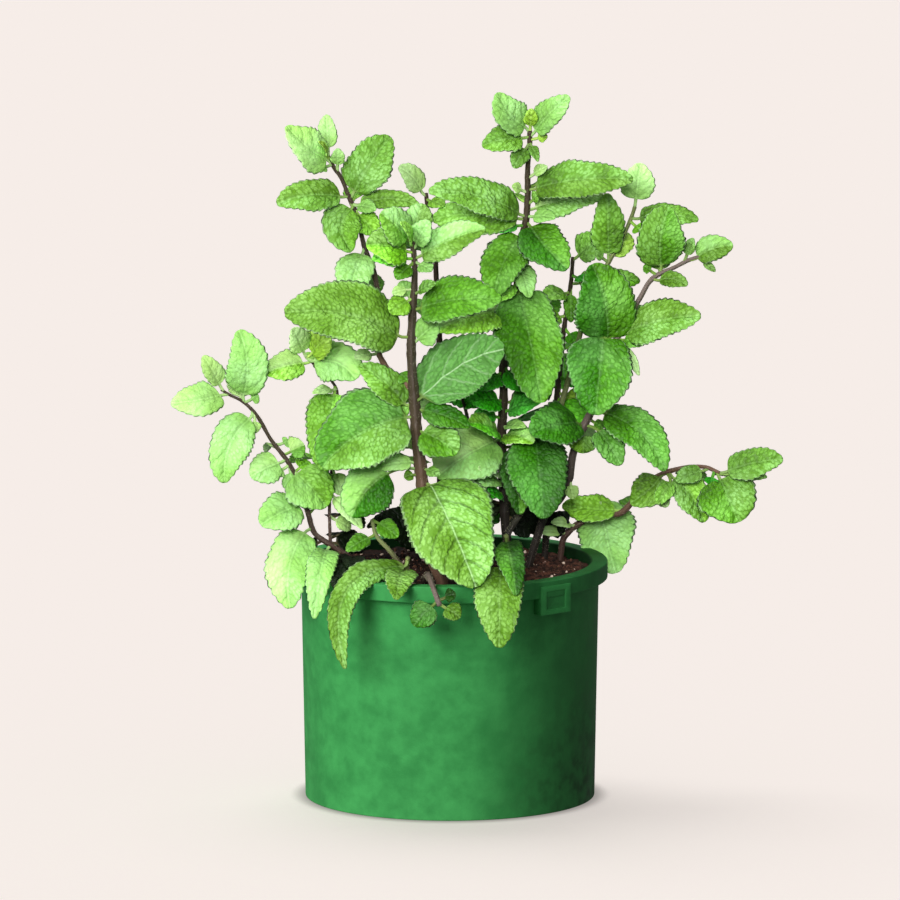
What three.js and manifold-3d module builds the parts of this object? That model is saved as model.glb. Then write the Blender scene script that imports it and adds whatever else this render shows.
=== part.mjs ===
// A potted mint plant: a moulded pot, its soil and the leafy stems that stand in it.
// Millimetres, +Z up, the front faces -Y, and the origin is the middle of the pot's flat foot.
import * as THREE from 'three';
import Module from 'manifold-3d';

const wasm = await Module();
wasm.setup();
const { Manifold, Mesh: SolidMesh } = wasm;

// The pot
const POT_HEIGHT = 120;
const FOOT_RADIUS = 73;
const BODY_TOP_RADIUS = 75;
const RIM_RADIUS = 79.5;
const RIM_HEIGHT = 8.5;
const EDGE_ROUND = 0.7;
const WALL = 4;
const FLOOR = 4;
const POT_SIDES = 40;
const DRAIN_HOLES = 6;
const DRAIN_RADIUS = 4;
const DRAIN_CIRCLE = 46;

// The bare raised frame on the front right of the rim
const LABEL_TURN = 41.7;
const LABEL_WIDTH = 20;
const LABEL_HEIGHT = 14.6;
const LABEL_BORDER_SIDE = 3.7;
const LABEL_BORDER_END = 2.9;
const LABEL_MIDDLE = 110.3;
const LABEL_FACE = 79.9;
const LABEL_DEPTH = 6.5;
const LABEL_RECESS = 0.9;

// The soil
const SOIL_LEVEL = 115;
const SOIL_GAP = 0.3;
const SOIL_RINGS = 3;
const CLOD_HEIGHT = 1.3;
const ROOT_DEPTH = 30;
const ROOT_GAP = 0.35;
const STEM_CLEARS_SOIL = 3;

// The leaves and stems
const BLADE_HALF_THICK = 0.4;
const PETIOLE_HALF_WIDTH = 0.9;
const PETIOLE_HALF_THICK = 0.7;
const PETIOLE_LENGTH = 4.5;
const NOTCH = 0.87;
const BLADE_ROUND = 0.62;
const TIPPED = 1.14;
const BLADE_FOLD = 12;
const ARCH_SHARE = 0.1;
const STEM_STEP = 20;
const STEM_LEAST_STEPS = 4;
const STEM_CORNER = 1.2;

// The looks
const MOULDED_GREEN = { color: 0x2f8a47, roughness: 0.75 };
const DARK_SOIL = { color: 0x4a2e24, roughness: 0.95 };
const LEAF_GREEN = { color: 0x7fae46, roughness: 0.6 };
const DRY_BROWN = { color: 0x5a4334, roughness: 0.7 };

// The plant is laid out as it is seen from the front, from a little above level.
const SEEN_FROM = 9.5;
const RAD = Math.PI / 180;
const VIEW_SIN = Math.sin(SEEN_FROM * RAD);
const VIEW_COS = Math.cos(SEEN_FROM * RAD);

// A point from how far it lies across, how far up in the front view, and how far back.
function seen([across, up, back]) {
  return new THREE.Vector3(across, back, (up - back * VIEW_SIN) / VIEW_COS);
}

// A leaf, from its foot across and up to its tip across, up and back. Its face turns to the front.
function leaf(foot, tip, width, more = {}) {
  return { foot, tip, width, turn: 0, bend: 0, face: new THREE.Vector3(0, -0.8, 0.6), ...more };
}

// A leaf on the far side of the plant, whose face turns up and to the back.
function behind(foot, tip, width, more = {}) {
  return leaf(foot, tip, width, { face: new THREE.Vector3(0, 0.55, 0.85), ...more });
}

const stems = [
  {
    name: 'stem_centre',
    root: [-4, -46],
    low: 3.2,
    top: 1.1,
    path: [
      [-9, 120, -46], [-13, 148, -45], [-14.6, 164, -44], [-16.6, 179, -42], [-17.4, 193, -40],
      [-19, 214, -37], [-19.4, 226, -35], [-18.6, 245, -32], [-17.6, 265, -30], [-19, 280, -29],
    ],
    twigs: [
      {
        low: 1.6,
        top: 1,
        path: [
          [-18.6, 203, -38], [-24, 209, -35], [-31, 214, -30], [-37, 226, -22], [-37, 240, -16],
          [-36.5, 253, -12], [-38, 262, -10], [-43, 276, -7], [-47, 292, -4], [-50, 299, -3],
          [-55, 311, -2], [-58, 315, -2], [-61, 321, -2],
        ],
      },
    ],
    leaves: [
      leaf([-10, 156], [13, 105, -87], 42, { arch: 7 }),
      leaf([-26, 231], [-83, 242, -48], 37, { bend: 1 }),
      leaf([-22, 190], [-64, 165, -54], 39, { bend: 3 }),
      leaf([-22, 199], [-46, 217, -34], 19, { bend: 2 }),
      leaf([-30, 162], [-48, 140, -48], 31),
      leaf([-14, 199], [26, 227, -48], 39, { turn: 180, bend: 7 }),
      leaf([-17, 245], [22, 250, -46], 20),
      leaf([-15, 195], [10, 185, -46], 13),
      leaf([-15, 184], [4, 172, -52], 20),
      leaf([-13, 165], [-5, 161, -50], 6),
      leaf([-20, 250], [-30, 243, -38], 9),
      leaf([-20, 255], [-30, 251, -33], 7),
      leaf([-19, 272], [-42, 276, -40], 20),
      leaf([-19, 277], [-35, 292, -38], 18),
      leaf([-18, 278], [-14, 297, -18], 14),
      leaf([-19, 268], [-27, 259, -38], 9),
      leaf([-17, 271], [18, 283, -40], 18),
      leaf([-18, 274], [-10, 288, -38], 12),
      leaf([-19, 276], [-25, 287, -48], 9),
      leaf([-18, 268], [-9, 263, -38], 8),
      leaf([-60, 317], [-82, 336, -12], 20, { bend: -3 }),
      leaf([-60, 320], [-60, 343, 8], 10),
      leaf([-61, 320], [-66, 328, -16], 5),
      leaf([-49, 300], [-28, 333, 4], 24),
      leaf([-46, 298], [-14, 297, -8], 10, { bend: -2 }),
      leaf([-53, 301], [-87, 299, -12], 17),
      leaf([-53, 297], [-54, 273, -18], 20, { bend: 2 }),
      leaf([-47, 295], [-37, 281, -14], 13),
      leaf([-42, 276], [-52, 248, -24], 18),
      behind([-15, 166], [-37, 167, -8], 28),
      behind([-18, 200], [-35, 193, -6], 20),
      behind([-37, 240], [-54, 243, 32], 22),
      behind([-36, 252], [-51, 262, 34], 15),
      behind([-46, 290], [-59, 286, 32], 16),
      behind([-50, 299], [-37, 309, 30], 15),
    ],
  },
  {
    name: 'stem_behind',
    root: [-6, 30],
    low: 2,
    top: 0.9,
    path: [
      [-5, 150, 29], [-4, 200, 27], [-6, 240, 25], [-7, 262, 24], [-7.5, 272, 23], [-11, 290, 21],
      [-12, 303, 20],
    ],
    leaves: [
      leaf([-12, 303], [-26, 316, 14], 10),
      behind([-5, 138], [-42, 134, 40], 24),
      behind([-5, 144], [24, 136, 62], 24),
      behind([-5, 170], [-40, 178, 42], 26),
      behind([-4, 174], [14, 170, 70], 24),
      behind([-5, 204], [-14, 192, 64], 20),
      behind([-6, 236], [-14, 249, 58], 18),
      behind([-8, 277], [8, 279, 42], 13),
      behind([-8, 273], [-28, 276, 38], 15),
    ],
  },
  {
    name: 'stem_top',
    root: [30, 14],
    low: 2.3,
    top: 1.1,
    path: [
      [28, 135, 14], [27, 153, 13], [26, 179, 11], [27, 201, 9], [27, 219, 8], [31, 245, 7],
      [34, 257, 6], [34, 268, 6], [36, 280, 5], [38, 288, 4], [39, 300, 4], [39, 315, 3],
      [40, 327, 3], [40, 334, 3],
    ],
    leaves: [
      leaf([38, 333], [24, 353, 0], 17, { bend: -3 }),
      leaf([41, 332], [61, 350, -2], 13),
      leaf([38, 331], [16, 327, -4], 13),
      leaf([38, 328], [32, 315, -4], 9),
      leaf([41, 328], [44, 318, -14], 5),
      leaf([42, 306], [92, 310, -12], 19),
      leaf([38, 293], [76, 298, 10], 16),
      leaf([39, 287], [58, 263, -18], 22),
      leaf([37, 295], [-10, 305, -12], 19),
      leaf([37, 291], [-9, 291, 10], 19),
      leaf([35, 286], [20, 254, -14], 20),
      leaf([36, 254], [48, 197, -26], 28),
      leaf([33, 244], [-3, 236, -14], 21),
      leaf([35, 270], [44, 252, -10], 10),
      leaf([26, 199], [10, 198, -8], 17),
      leaf([25, 181], [9, 187, -14], 15),
      leaf([24, 178], [-8, 160, -24], 26),
      leaf([28, 182], [42, 177, -14], 14),
      leaf([33, 174], [35, 141, -14], 16),
      leaf([44, 179], [50, 141, -30], 25),
      leaf([27, 150], [19, 153, -2], 10),
      leaf([26, 158], [13, 156, -8], 10),
      behind([28, 152], [52, 147, 58], 24),
      behind([26, 184], [54, 189, 42], 23),
      behind([26, 178], [11, 176, 30], 17),
      behind([27, 197], [51, 203, 16], 28),
      behind([27, 217], [0, 224, 42], 23),
      behind([32, 248], [54, 243, 42], 20),
      behind([31, 244], [8, 244, 40], 20),
      behind([35, 275], [21, 272, 44], 16),
      behind([39, 306], [64, 309, 26], 17),
      behind([39, 299], [17, 302, 32], 17),
    ],
  },
  {
    name: 'stem_right',
    root: [40, 2],
    low: 2.1,
    top: 0.8,
    path: [
      [44, 130, 2], [48, 141, 2], [56, 150, 1], [60, 160, 0], [62, 172, -1], [67, 185, -3],
      [73, 197, -5], [81, 224, -8], [84, 230, -8], [90, 241, -9], [96, 251, -10], [100, 258, -10],
      [105, 262, -10], [112, 266, -11], [120, 271, -12], [130, 273, -13],
    ],
    leaves: [
      leaf([106, 262], [110, 296, -12], 22, { bend: -2 }),
      leaf([118, 272], [143, 278, -14], 15, { bend: -1 }),
      leaf([124, 272], [133, 262, -18], 6),
      leaf([100, 261], [124, 255, -20], 11, { bend: -1 }),
      leaf([86, 231], [126, 241, -22], 22),
      leaf([87, 226], [95, 211, -16], 5),
      leaf([80, 229], [75, 194, -28], 32, { bend: -2 }),
      leaf([79, 230], [69, 268, -14], 31, { bend: 2 }),
      leaf([77, 194], [107, 163, -24], 19, { bend: -4 }),
      leaf([75, 183], [84, 165, -16], 13),
      leaf([64, 187], [40, 182, -24], 24),
      behind([80, 222], [84, 197, 30], 16),
      behind([90, 241], [104, 244, 26], 17),
      behind([105, 262], [105, 280, 24], 14),
    ],
  },
  {
    name: 'stem_slender',
    root: [26, -12],
    low: 1.6,
    top: 0.9,
    path: [
      [29, 131, -10], [36, 143, -6], [45, 165, 2], [57, 200, 14], [63, 222, 18], [66, 234, 19],
      [67, 241, 19], [73, 256, 18], [80, 268.5, 17], [86, 279, 16], [91, 290, 15], [93, 296, 15],
    ],
    leaves: [
      leaf([94, 295], [97, 318, 12], 14),
      leaf([94, 290], [126, 289, 8], 13),
      leaf([80, 268], [82, 303, 14], 16),
      leaf([82, 269], [94, 283, 30], 12),
    ],
  },
  {
    name: 'stem_thin',
    root: [48, 30],
    low: 1.6,
    top: 0.9,
    path: [
      [50, 150, 28], [54, 200, 27], [57.6, 235, 26], [59, 245, 26], [61, 258, 26], [62, 271, 26],
    ],
    leaves: [
      leaf([63, 269], [76, 284, 20], 14),
      leaf([62, 258], [96, 259, 34], 13),
      leaf([59, 254], [47, 249, 10], 8),
      leaf([54, 203], [68, 192, 25], 16),
      behind([53, 180], [71, 178, 62], 22),
      behind([57, 226], [76, 222, 62], 24),
    ],
  },
  {
    name: 'branch_low_right',
    root: [56, 26],
    low: 1.6,
    top: 0.9,
    path: [
      [58, 130, 26], [68, 138, 27], [80, 141, 26], [85.6, 141.5, 25], [90, 145, 24], [95, 152, 22],
      [104, 160, 20], [111, 163, 18], [120, 165, 16], [129, 165, 14], [136, 162, 12],
    ],
    leaves: [
      leaf([76, 147], [82, 111, 64], 27, { bend: 1, arch: -4 }),
      leaf([86, 143.5], [57, 146, 34], 15, { bend: -2 }),
      leaf([109, 160], [92, 146, 14], 17, { bend: -2 }),
      leaf([111, 161], [128, 137, 10], 17, { bend: -2 }),
      leaf([130, 164], [114, 158, 10], 10),
      leaf([134, 161], [146, 137, 0], 28),
      leaf([137, 163], [168, 171, 8], 15),
      leaf([58, 133.5], [44.5, 132.5, 20], 6),
      behind([90, 145], [100, 150, 50], 15),
      behind([120, 165], [124, 152, 42], 14),
      behind([136, 162], [148, 158, 34], 14),
    ],
  },
  {
    name: 'branch_left',
    root: [-44, -22],
    low: 1.7,
    top: 0.9,
    path: [
      [-48, 118, -23], [-60, 126, -25], [-68, 132, -24], [-71, 141, -22], [-74, 152, -20],
      [-81, 167, -18], [-90, 179, -16], [-97, 191, -15], [-104, 198, -14], [-110, 201, -14],
      [-115, 204, -14],
    ],
    twigs: [
      {
        low: 1.4,
        top: 0.9,
        path: [
          [-60, 126, -25], [-60.5, 138, -20], [-60.5, 148, -16], [-59, 170, -8], [-57, 190, -4],
          [-57, 204, -2], [-61, 210, -2], [-66, 215, -3], [-72, 220, -5],
        ],
      },
    ],
    leaves: [
      leaf([-101, 192], [-113, 157, -26], 20, { bend: 4 }),
      leaf([-102, 199], [-106, 234, -16], 20, { bend: 2 }),
      leaf([-111, 201], [-140, 197, -22], 17, { bend: -1 }),
      leaf([-114, 204], [-124, 221, -18], 10),
      leaf([-84, 170], [-101, 159, -22], 16),
      leaf([-84, 170], [-72, 176, -16], 12),
      leaf([-79, 163], [-63, 151, -22], 19),
      leaf([-74, 147], [-96, 137, -34], 16, { bend: -2 }),
      leaf([-73, 132], [-80, 94, -44], 23, { bend: 4 }),
      leaf([-62, 123], [-68, 89, -62], 14, { arch: 12 }),
      leaf([-60, 152], [-44, 134, -32], 8),
      leaf([-59, 205], [-65, 163, -24], 26),
      leaf([-71, 217], [-93, 211, -12], 14, { bend: -2 }),
      leaf([-72, 220], [-79, 235, -10], 12),
      leaf([-69, 221], [-48, 211, -14], 16, { bend: -3 }),
      behind([-90, 179], [-100, 172, 14], 16),
      behind([-104, 198], [-108, 212, 14], 14),
      behind([-70, 142], [-82, 145, 14], 16),
      behind([-60, 175], [-40, 180, 30], 20),
      behind([-60, 165], [-80, 167, 28], 16),
      behind([-61, 210], [-70, 222, 28], 15),
    ],
  },
  {
    name: 'shoot_front',
    root: [-13, -50],
    low: 1.8,
    top: 1.3,
    path: [[-12, 110, -57], [-11, 111, -66], [-10, 109.5, -76], [-8, 104, -84.5], [-5, 96, -87]],
    leaves: [
      leaf([-7, 97], [-15, 85, -90], 10),
      leaf([-5, 96], [3, 92, -89], 7),
      leaf([-4, 99], [1, 100, -88], 5),
    ],
  },
  {
    name: 'shoot_front_left',
    root: [-22, -42],
    low: 1.5,
    top: 1,
    path: [[-22, 114, -46], [-21, 120, -50]],
    twigs: [
      { low: 1.2, top: 0.9, path: [[-22, 113, -45], [-30, 123, -42], [-37, 131, -39], [-39, 139, -37]] },
    ],
    leaves: [
      leaf([-22, 119], [-52, 64, -84], 14, { bend: 16, arch: 14 }),
      leaf([-24, 113], [-25, 99, -89], 12),
      leaf([-38, 131], [-52, 123, -46], 9),
      leaf([-38, 139], [-26, 130, -44], 10),
    ],
  },
  {
    name: 'shoot_front_right',
    root: [27, -34],
    low: 1.6,
    top: 1.1,
    path: [[28, 119, -38], [28.5, 126, -46], [28, 131, -52]],
    twigs: [
      { low: 1.5, top: 1, path: [[28, 119, -38], [26.5, 121, -52], [25, 119, -66]] },
    ],
    leaves: [
      leaf([25, 118], [24.5, 75, -93], 23, { arch: 8 }),
      leaf([29, 130], [33, 101, -90], 14, { arch: 6 }),
    ],
  },
  {
    name: 'dry_stem',
    root: [10, 22],
    low: 1.2,
    top: 0.8,
    path: [[12, 150, 20], [12, 175, 14], [9, 189, 10], [7, 197, 7], [5, 203, 6]],
    leaves: [],
  },
];

// A solid from its corner points and its triangles, which face out.
function solidFrom(points, triangles) {
  const vertProperties = new Float32Array(points.flatMap((p) => [p.x, p.y, p.z]));
  return new Manifold(new SolidMesh({
    numProp: 3,
    vertProperties,
    triVerts: new Uint32Array(triangles.flat()),
  }));
}

// A three.js shape as a solid, with the points that share a place joined.
function solidOf(geometry) {
  const loose = geometry.index ? geometry.toNonIndexed() : geometry;
  const places = loose.getAttribute('position');
  const points = [];
  const found = new Map();
  const corners = [];
  for (let i = 0; i < places.count; i += 1) {
    const point = new THREE.Vector3().fromBufferAttribute(places, i);
    const key = point.toArray().map((value) => Math.round(value * 1e4)).join();
    if (!found.has(key)) {
      found.set(key, points.length);
      points.push(point);
    }
    corners.push(found.get(key));
  }
  const triangles = [];
  for (let i = 0; i < corners.length; i += 3) {
    const [a, b, c] = corners.slice(i, i + 3);
    if (a !== b && b !== c && c !== a) triangles.push([a, b, c]);
  }
  return solidFrom(points, triangles);
}

// A named mesh of a solid, with one of the looks above.
function meshOf(name, solid, look) {
  const { vertProperties, triVerts, numProp } = solid.getMesh();
  const places = new Float32Array((vertProperties.length / numProp) * 3);
  for (let i = 0; i < places.length; i += 1) {
    places[i] = vertProperties[Math.floor(i / 3) * numProp + (i % 3)];
  }
  const geometry = new THREE.BufferGeometry();
  geometry.setAttribute('position', new THREE.BufferAttribute(places, 3));
  geometry.setIndex(Array.from(triVerts));
  const mesh = new THREE.Mesh(geometry, new THREE.MeshStandardMaterial(look));
  mesh.name = name;
  return mesh;
}

// An upright round bar between two heights.
function uprightBar(x, y, radius, bottom, top, sides) {
  const bar = new THREE.CylinderGeometry(radius, radius, top - bottom, sides);
  bar.rotateX(90 * RAD).translate(x, y, (bottom + top) / 2);
  return solidOf(bar);
}

// A box that faces out of the pot at the label's place, from how near its back lies to how far its face does.
function labelBox(width, height, back, face) {
  const box = new THREE.BoxGeometry(width, face - back, height);
  box.translate(0, -(back + face) / 2, LABEL_MIDDLE).rotateZ(LABEL_TURN * RAD);
  return solidOf(box);
}

// The pot: its wall, rim and floor turned as one, with the raised frame and the drain holes.
function makePot() {
  const rimFoot = POT_HEIGHT - RIM_HEIGHT;
  const profile = [
    [0, 0],
    [FOOT_RADIUS - EDGE_ROUND, 0],
    [FOOT_RADIUS, EDGE_ROUND],
    [BODY_TOP_RADIUS, rimFoot],
    [RIM_RADIUS, rimFoot],
    [RIM_RADIUS, POT_HEIGHT - EDGE_ROUND],
    [RIM_RADIUS - EDGE_ROUND, POT_HEIGHT],
    [BODY_TOP_RADIUS - WALL + EDGE_ROUND, POT_HEIGHT],
    [BODY_TOP_RADIUS - WALL, POT_HEIGHT - EDGE_ROUND],
    [FOOT_RADIUS - WALL, FLOOR],
    [0, FLOOR],
  ].map(([radius, height]) => new THREE.Vector2(radius, height));
  const turned = new THREE.LatheGeometry(profile, POT_SIDES).rotateX(90 * RAD);
  const frame = labelBox(LABEL_WIDTH, LABEL_HEIGHT, LABEL_FACE - LABEL_DEPTH, LABEL_FACE);
  const recess = labelBox(
    LABEL_WIDTH - 2 * LABEL_BORDER_SIDE,
    LABEL_HEIGHT - 2 * LABEL_BORDER_END,
    LABEL_FACE - LABEL_RECESS,
    LABEL_FACE + 1,
  );
  const holes = Array.from({ length: DRAIN_HOLES }, (_, i) => {
    const angle = (i / DRAIN_HOLES) * 2 * Math.PI;
    const x = DRAIN_CIRCLE * Math.cos(angle);
    const y = DRAIN_CIRCLE * Math.sin(angle);
    return uprightBar(x, y, DRAIN_RADIUS, -1, FLOOR + 1, 12);
  });
  return solidOf(turned).add(frame).subtract(Manifold.union([recess, ...holes]));
}

// How high the soil's uneven top lies at a place.
function soilHeight(x, y) {
  const waves = 0.5 * Math.sin(x / 6.1 + 1.3) * Math.cos(y / 5.3)
    + 0.3 * Math.sin(x / 3.7 + y / 4.3)
    + 0.2 * Math.cos(x / 2.9 - y / 3.1);
  return SOIL_LEVEL + CLOD_HEIGHT * waves;
}

// The soil: a body that fills the pot, with a plain hole for each root.
function makeSoil(roots) {
  const wallRadius = (z) => {
    const rise = z / (POT_HEIGHT - RIM_HEIGHT);
    return FOOT_RADIUS + (BODY_TOP_RADIUS - FOOT_RADIUS) * rise - WALL - SOIL_GAP;
  };
  const around = (radius, height) => Array.from({ length: POT_SIDES }, (_, i) => {
    const angle = (i / POT_SIDES) * 2 * Math.PI;
    const x = radius * Math.cos(angle);
    const y = radius * Math.sin(angle);
    return new THREE.Vector3(x, y, height ?? soilHeight(x, y));
  });
  const outer = wallRadius(FLOOR);
  const rings = [around(outer - SOIL_GAP, FLOOR)];
  for (let i = SOIL_RINGS; i > 0; i -= 1) {
    rings.push(around((wallRadius(SOIL_LEVEL - 5) * i) / SOIL_RINGS));
  }
  const points = [
    new THREE.Vector3(0, 0, FLOOR),
    ...rings.flat(),
    new THREE.Vector3(0, 0, soilHeight(0, 0)),
  ];
  const last = points.length - 1;
  const triangles = [];
  for (let i = 0; i < POT_SIDES; i += 1) {
    const next = (i + 1) % POT_SIDES;
    triangles.push([0, 1 + next, 1 + i]);
    for (let ring = 0; ring < rings.length - 1; ring += 1) {
      const low = 1 + ring * POT_SIDES;
      const high = low + POT_SIDES;
      triangles.push([low + i, low + next, high + i], [low + next, high + next, high + i]);
    }
    const rim = 1 + (rings.length - 1) * POT_SIDES;
    triangles.push([rim + i, rim + next, last]);
  }
  const bottom = SOIL_LEVEL - ROOT_DEPTH - ROOT_GAP;
  const holes = roots.map(({ x, y, radius }) => (
    uprightBar(x, y, (radius + ROOT_GAP) / Math.cos(22.5 * RAD), bottom, POT_HEIGHT, 8)
  ));
  return solidFrom(points, triangles).subtract(Manifold.union(holes));
}

// Points along a smooth line through the given ones, about a step apart.
function smoothLine(points) {
  const curve = new THREE.CatmullRomCurve3(points, false, 'centripetal');
  return curve.getSpacedPoints(Math.max(STEM_LEAST_STEPS, Math.round(curve.getLength() / STEM_STEP)));
}

// A square stem along a line, thicker at its low end.
function stemSolid(line, low, top) {
  const points = [];
  const triangles = [];
  const along = new THREE.Vector3();
  const side = new THREE.Vector3(1, 0, 0);
  line.forEach((point, i) => {
    along.subVectors(line[Math.min(i + 1, line.length - 1)], line[Math.max(i - 1, 0)]).normalize();
    side.addScaledVector(along, -side.dot(along)).normalize();
    const other = new THREE.Vector3().crossVectors(along, side);
    const share = i / (line.length - 1);
    const radius = (top + (low - top) * (1 - share * share)) * STEM_CORNER;
    for (let corner = 0; corner < 4; corner += 1) {
      const angle = (corner / 4) * 2 * Math.PI;
      points.push(point.clone()
        .addScaledVector(side, radius * Math.cos(angle))
        .addScaledVector(other, radius * Math.sin(angle)));
    }
  });
  for (let i = 0; i < line.length - 1; i += 1) {
    for (let corner = 0; corner < 4; corner += 1) {
      const here = i * 4 + corner;
      const beside = i * 4 + ((corner + 1) % 4);
      triangles.push([here, beside, here + 4], [beside, beside + 4, here + 4]);
    }
  }
  const end = (line.length - 1) * 4;
  triangles.push([0, 2, 1], [0, 3, 2], [end, end + 1, end + 2], [end, end + 2, end + 3]);
  return solidFrom(points, triangles);
}

// Where a line passes nearest to a place, as seen from the front.
function nearestOn(lines, place) {
  let best = null;
  const flat = (point) => new THREE.Vector2(point.x, point.z * VIEW_COS + point.y * VIEW_SIN);
  for (const line of lines) {
    for (let i = 0; i < line.length - 1; i += 1) {
      const from = flat(line[i]);
      const run = flat(line[i + 1]).sub(from);
      const share = THREE.MathUtils.clamp(
        place.clone().sub(from).dot(run) / Math.max(run.lengthSq(), 1e-9),
        0,
        1,
      );
      const gap = from.addScaledVector(run, share).distanceTo(place);
      if (!best || gap < best.gap) {
        best = { gap, point: line[i].clone().lerp(line[i + 1], share) };
      }
    }
  }
  return best;
}

// Half of a blade's width at a share of its length: widest before the middle, pointed at the tip.
// The table gives widths as seen from the front. A blade is wider than it looks, as it is tipped and folded.
function halfWidth(width, share) {
  return TIPPED * (width / 2) * Math.sin(Math.PI * share ** 0.72) ** BLADE_ROUND;
}

// A leaf as one closed thin body: a stalk that starts inside the stem and a folded, arched, toothed blade.
function leafSolid(shape, lines) {
  const { foot, tip, width, turn, bend } = shape;
  const { gap, point: start } = nearestOn(lines, new THREE.Vector2(...foot));
  const end = seen(tip);
  const whole = gap + Math.hypot(tip[0] - foot[0], tip[1] - foot[1]);
  const back = start.y + (tip[2] - start.y) * (gap / whole);
  const base = seen([...foot, back]);
  if (base.distanceTo(start) < PETIOLE_LENGTH) {
    base.copy(start).addScaledVector(end.clone().sub(start).normalize(), PETIOLE_LENGTH);
  }
  const chord = end.clone().sub(base);
  const length = chord.length();
  const ahead = chord.clone().normalize();
  const face = shape.face.clone().addScaledVector(ahead, -shape.face.dot(ahead)).normalize();
  face.applyAxisAngle(ahead, turn * RAD);
  const right = new THREE.Vector3().crossVectors(ahead, face);
  const arch = shape.arch ?? ARCH_SHARE * length;
  const fold = BLADE_FOLD * RAD;

  const frameAt = (share) => {
    const rise = 4 * share * (1 - share);
    const slope = 4 * (1 - 2 * share);
    const middle = base.clone().addScaledVector(chord, share)
      .addScaledVector(face, arch * rise).addScaledVector(right, bend * rise);
    const along = chord.clone().addScaledVector(face, arch * slope).addScaledVector(right, bend * slope)
      .normalize();
    const normal = face.clone().addScaledVector(along, -face.dot(along)).normalize();
    const side = new THREE.Vector3().crossVectors(along, normal);
    return { middle, normal, side };
  };
  const points = [];
  const addPoint = (middle, normal, thick) => {
    points.push(middle.clone().addScaledVector(normal, thick));
    points.push(middle.clone().addScaledVector(normal, -thick));
    return points.length - 2;
  };
  const onBlade = (share, across) => {
    const { middle, normal, side } = frameAt(share);
    middle.addScaledVector(side, across * Math.cos(fold));
    middle.addScaledVector(normal, Math.abs(across) * Math.sin(fold));
    return addPoint(middle, normal, BLADE_HALF_THICK);
  };

  const teeth = 2 + (width >= 10) + (width >= 20) + (width >= 30);
  const { normal, side } = frameAt(0);
  const stalk = [-1, 1].map((edge) => (
    addPoint(start.clone().addScaledVector(side, edge * PETIOLE_HALF_WIDTH), normal, PETIOLE_HALF_THICK)
  ));
  const rib = Array.from({ length: teeth }, (_, k) => onBlade(k / teeth, 0));
  const point = onBlade(1, 0);
  rib.push(point);
  const edges = [-1, 1].map((edge) => {
    const line = [onBlade(0, edge * PETIOLE_HALF_WIDTH)];
    for (let k = 0; k < teeth; k += 1) {
      const out = (k + 0.7) / teeth;
      line.push(onBlade(out, edge * halfWidth(width, out)));
      const notch = (k + 1) / teeth;
      line.push(k + 1 < teeth ? onBlade(notch, edge * halfWidth(width, notch) * NOTCH) : point);
    }
    return line;
  });

  const triangles = [];
  const addFace = (a, b, c) => triangles.push([a, b, c], [a + 1, c + 1, b + 1]);
  const addSide = (edge, a, b, c) => (edge > 0 ? addFace(a, b, c) : addFace(a, c, b));
  addFace(stalk[0], stalk[1], rib[0]);
  edges.forEach((line, i) => {
    const edge = i * 2 - 1;
    addSide(edge, stalk[i], line[0], rib[0]);
    for (let k = 0; k < teeth; k += 1) {
      addSide(edge, rib[k], line[2 * k], line[2 * k + 1]);
      addSide(edge, rib[k], line[2 * k + 1], rib[k + 1]);
      if (k + 1 < teeth) addSide(edge, rib[k + 1], line[2 * k + 1], line[2 * k + 2]);
    }
  });
  const rim = [...stalk, ...edges[1], ...edges[0].slice(0, -1).reverse()];
  rim.forEach((here, i) => {
    const next = rim[(i + 1) % rim.length];
    triangles.push([here, here + 1, next], [here + 1, next + 1, next]);
  });
  return solidFrom(points, triangles);
}

// The smooth lines of a stem and its twigs, from the surface of the soil up.
function stemLines({ root, path, twigs = [] }) {
  const [x, y] = root;
  const surface = new THREE.Vector3(x, y, SOIL_LEVEL + STEM_CLEARS_SOIL);
  return [
    smoothLine([surface, ...path.map(seen)]),
    ...twigs.map((twig) => smoothLine(twig.path.map(seen))),
  ];
}

// A leafy stem as one body: its buried end, its twigs and its leaves.
function makeStem(stem) {
  const lines = stemLines(stem);
  const [x, y] = stem.root;
  const buried = new THREE.Vector3(x, y, SOIL_LEVEL - ROOT_DEPTH);
  return Manifold.union([
    stemSolid([buried, ...lines[0]], stem.low, stem.top),
    ...(stem.twigs ?? []).map((twig, i) => stemSolid(lines[i + 1], twig.low, twig.top)),
    ...stem.leaves.map((shape) => leafSolid(shape, lines)),
  ]);
}

const plant = new THREE.Group();
plant.name = 'potted_mint';
plant.add(meshOf('pot', makePot(), MOULDED_GREEN));
const roots = stems.map(({ root: [x, y], low }) => ({ x, y, radius: low * STEM_CORNER }));
plant.add(meshOf('soil', makeSoil(roots), DARK_SOIL));
for (const stem of stems) {
  const look = stem.leaves.length > 0 ? LEAF_GREEN : DRY_BROWN;
  plant.add(meshOf(stem.name, makeStem(stem), look));
}

export default plant;
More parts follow.
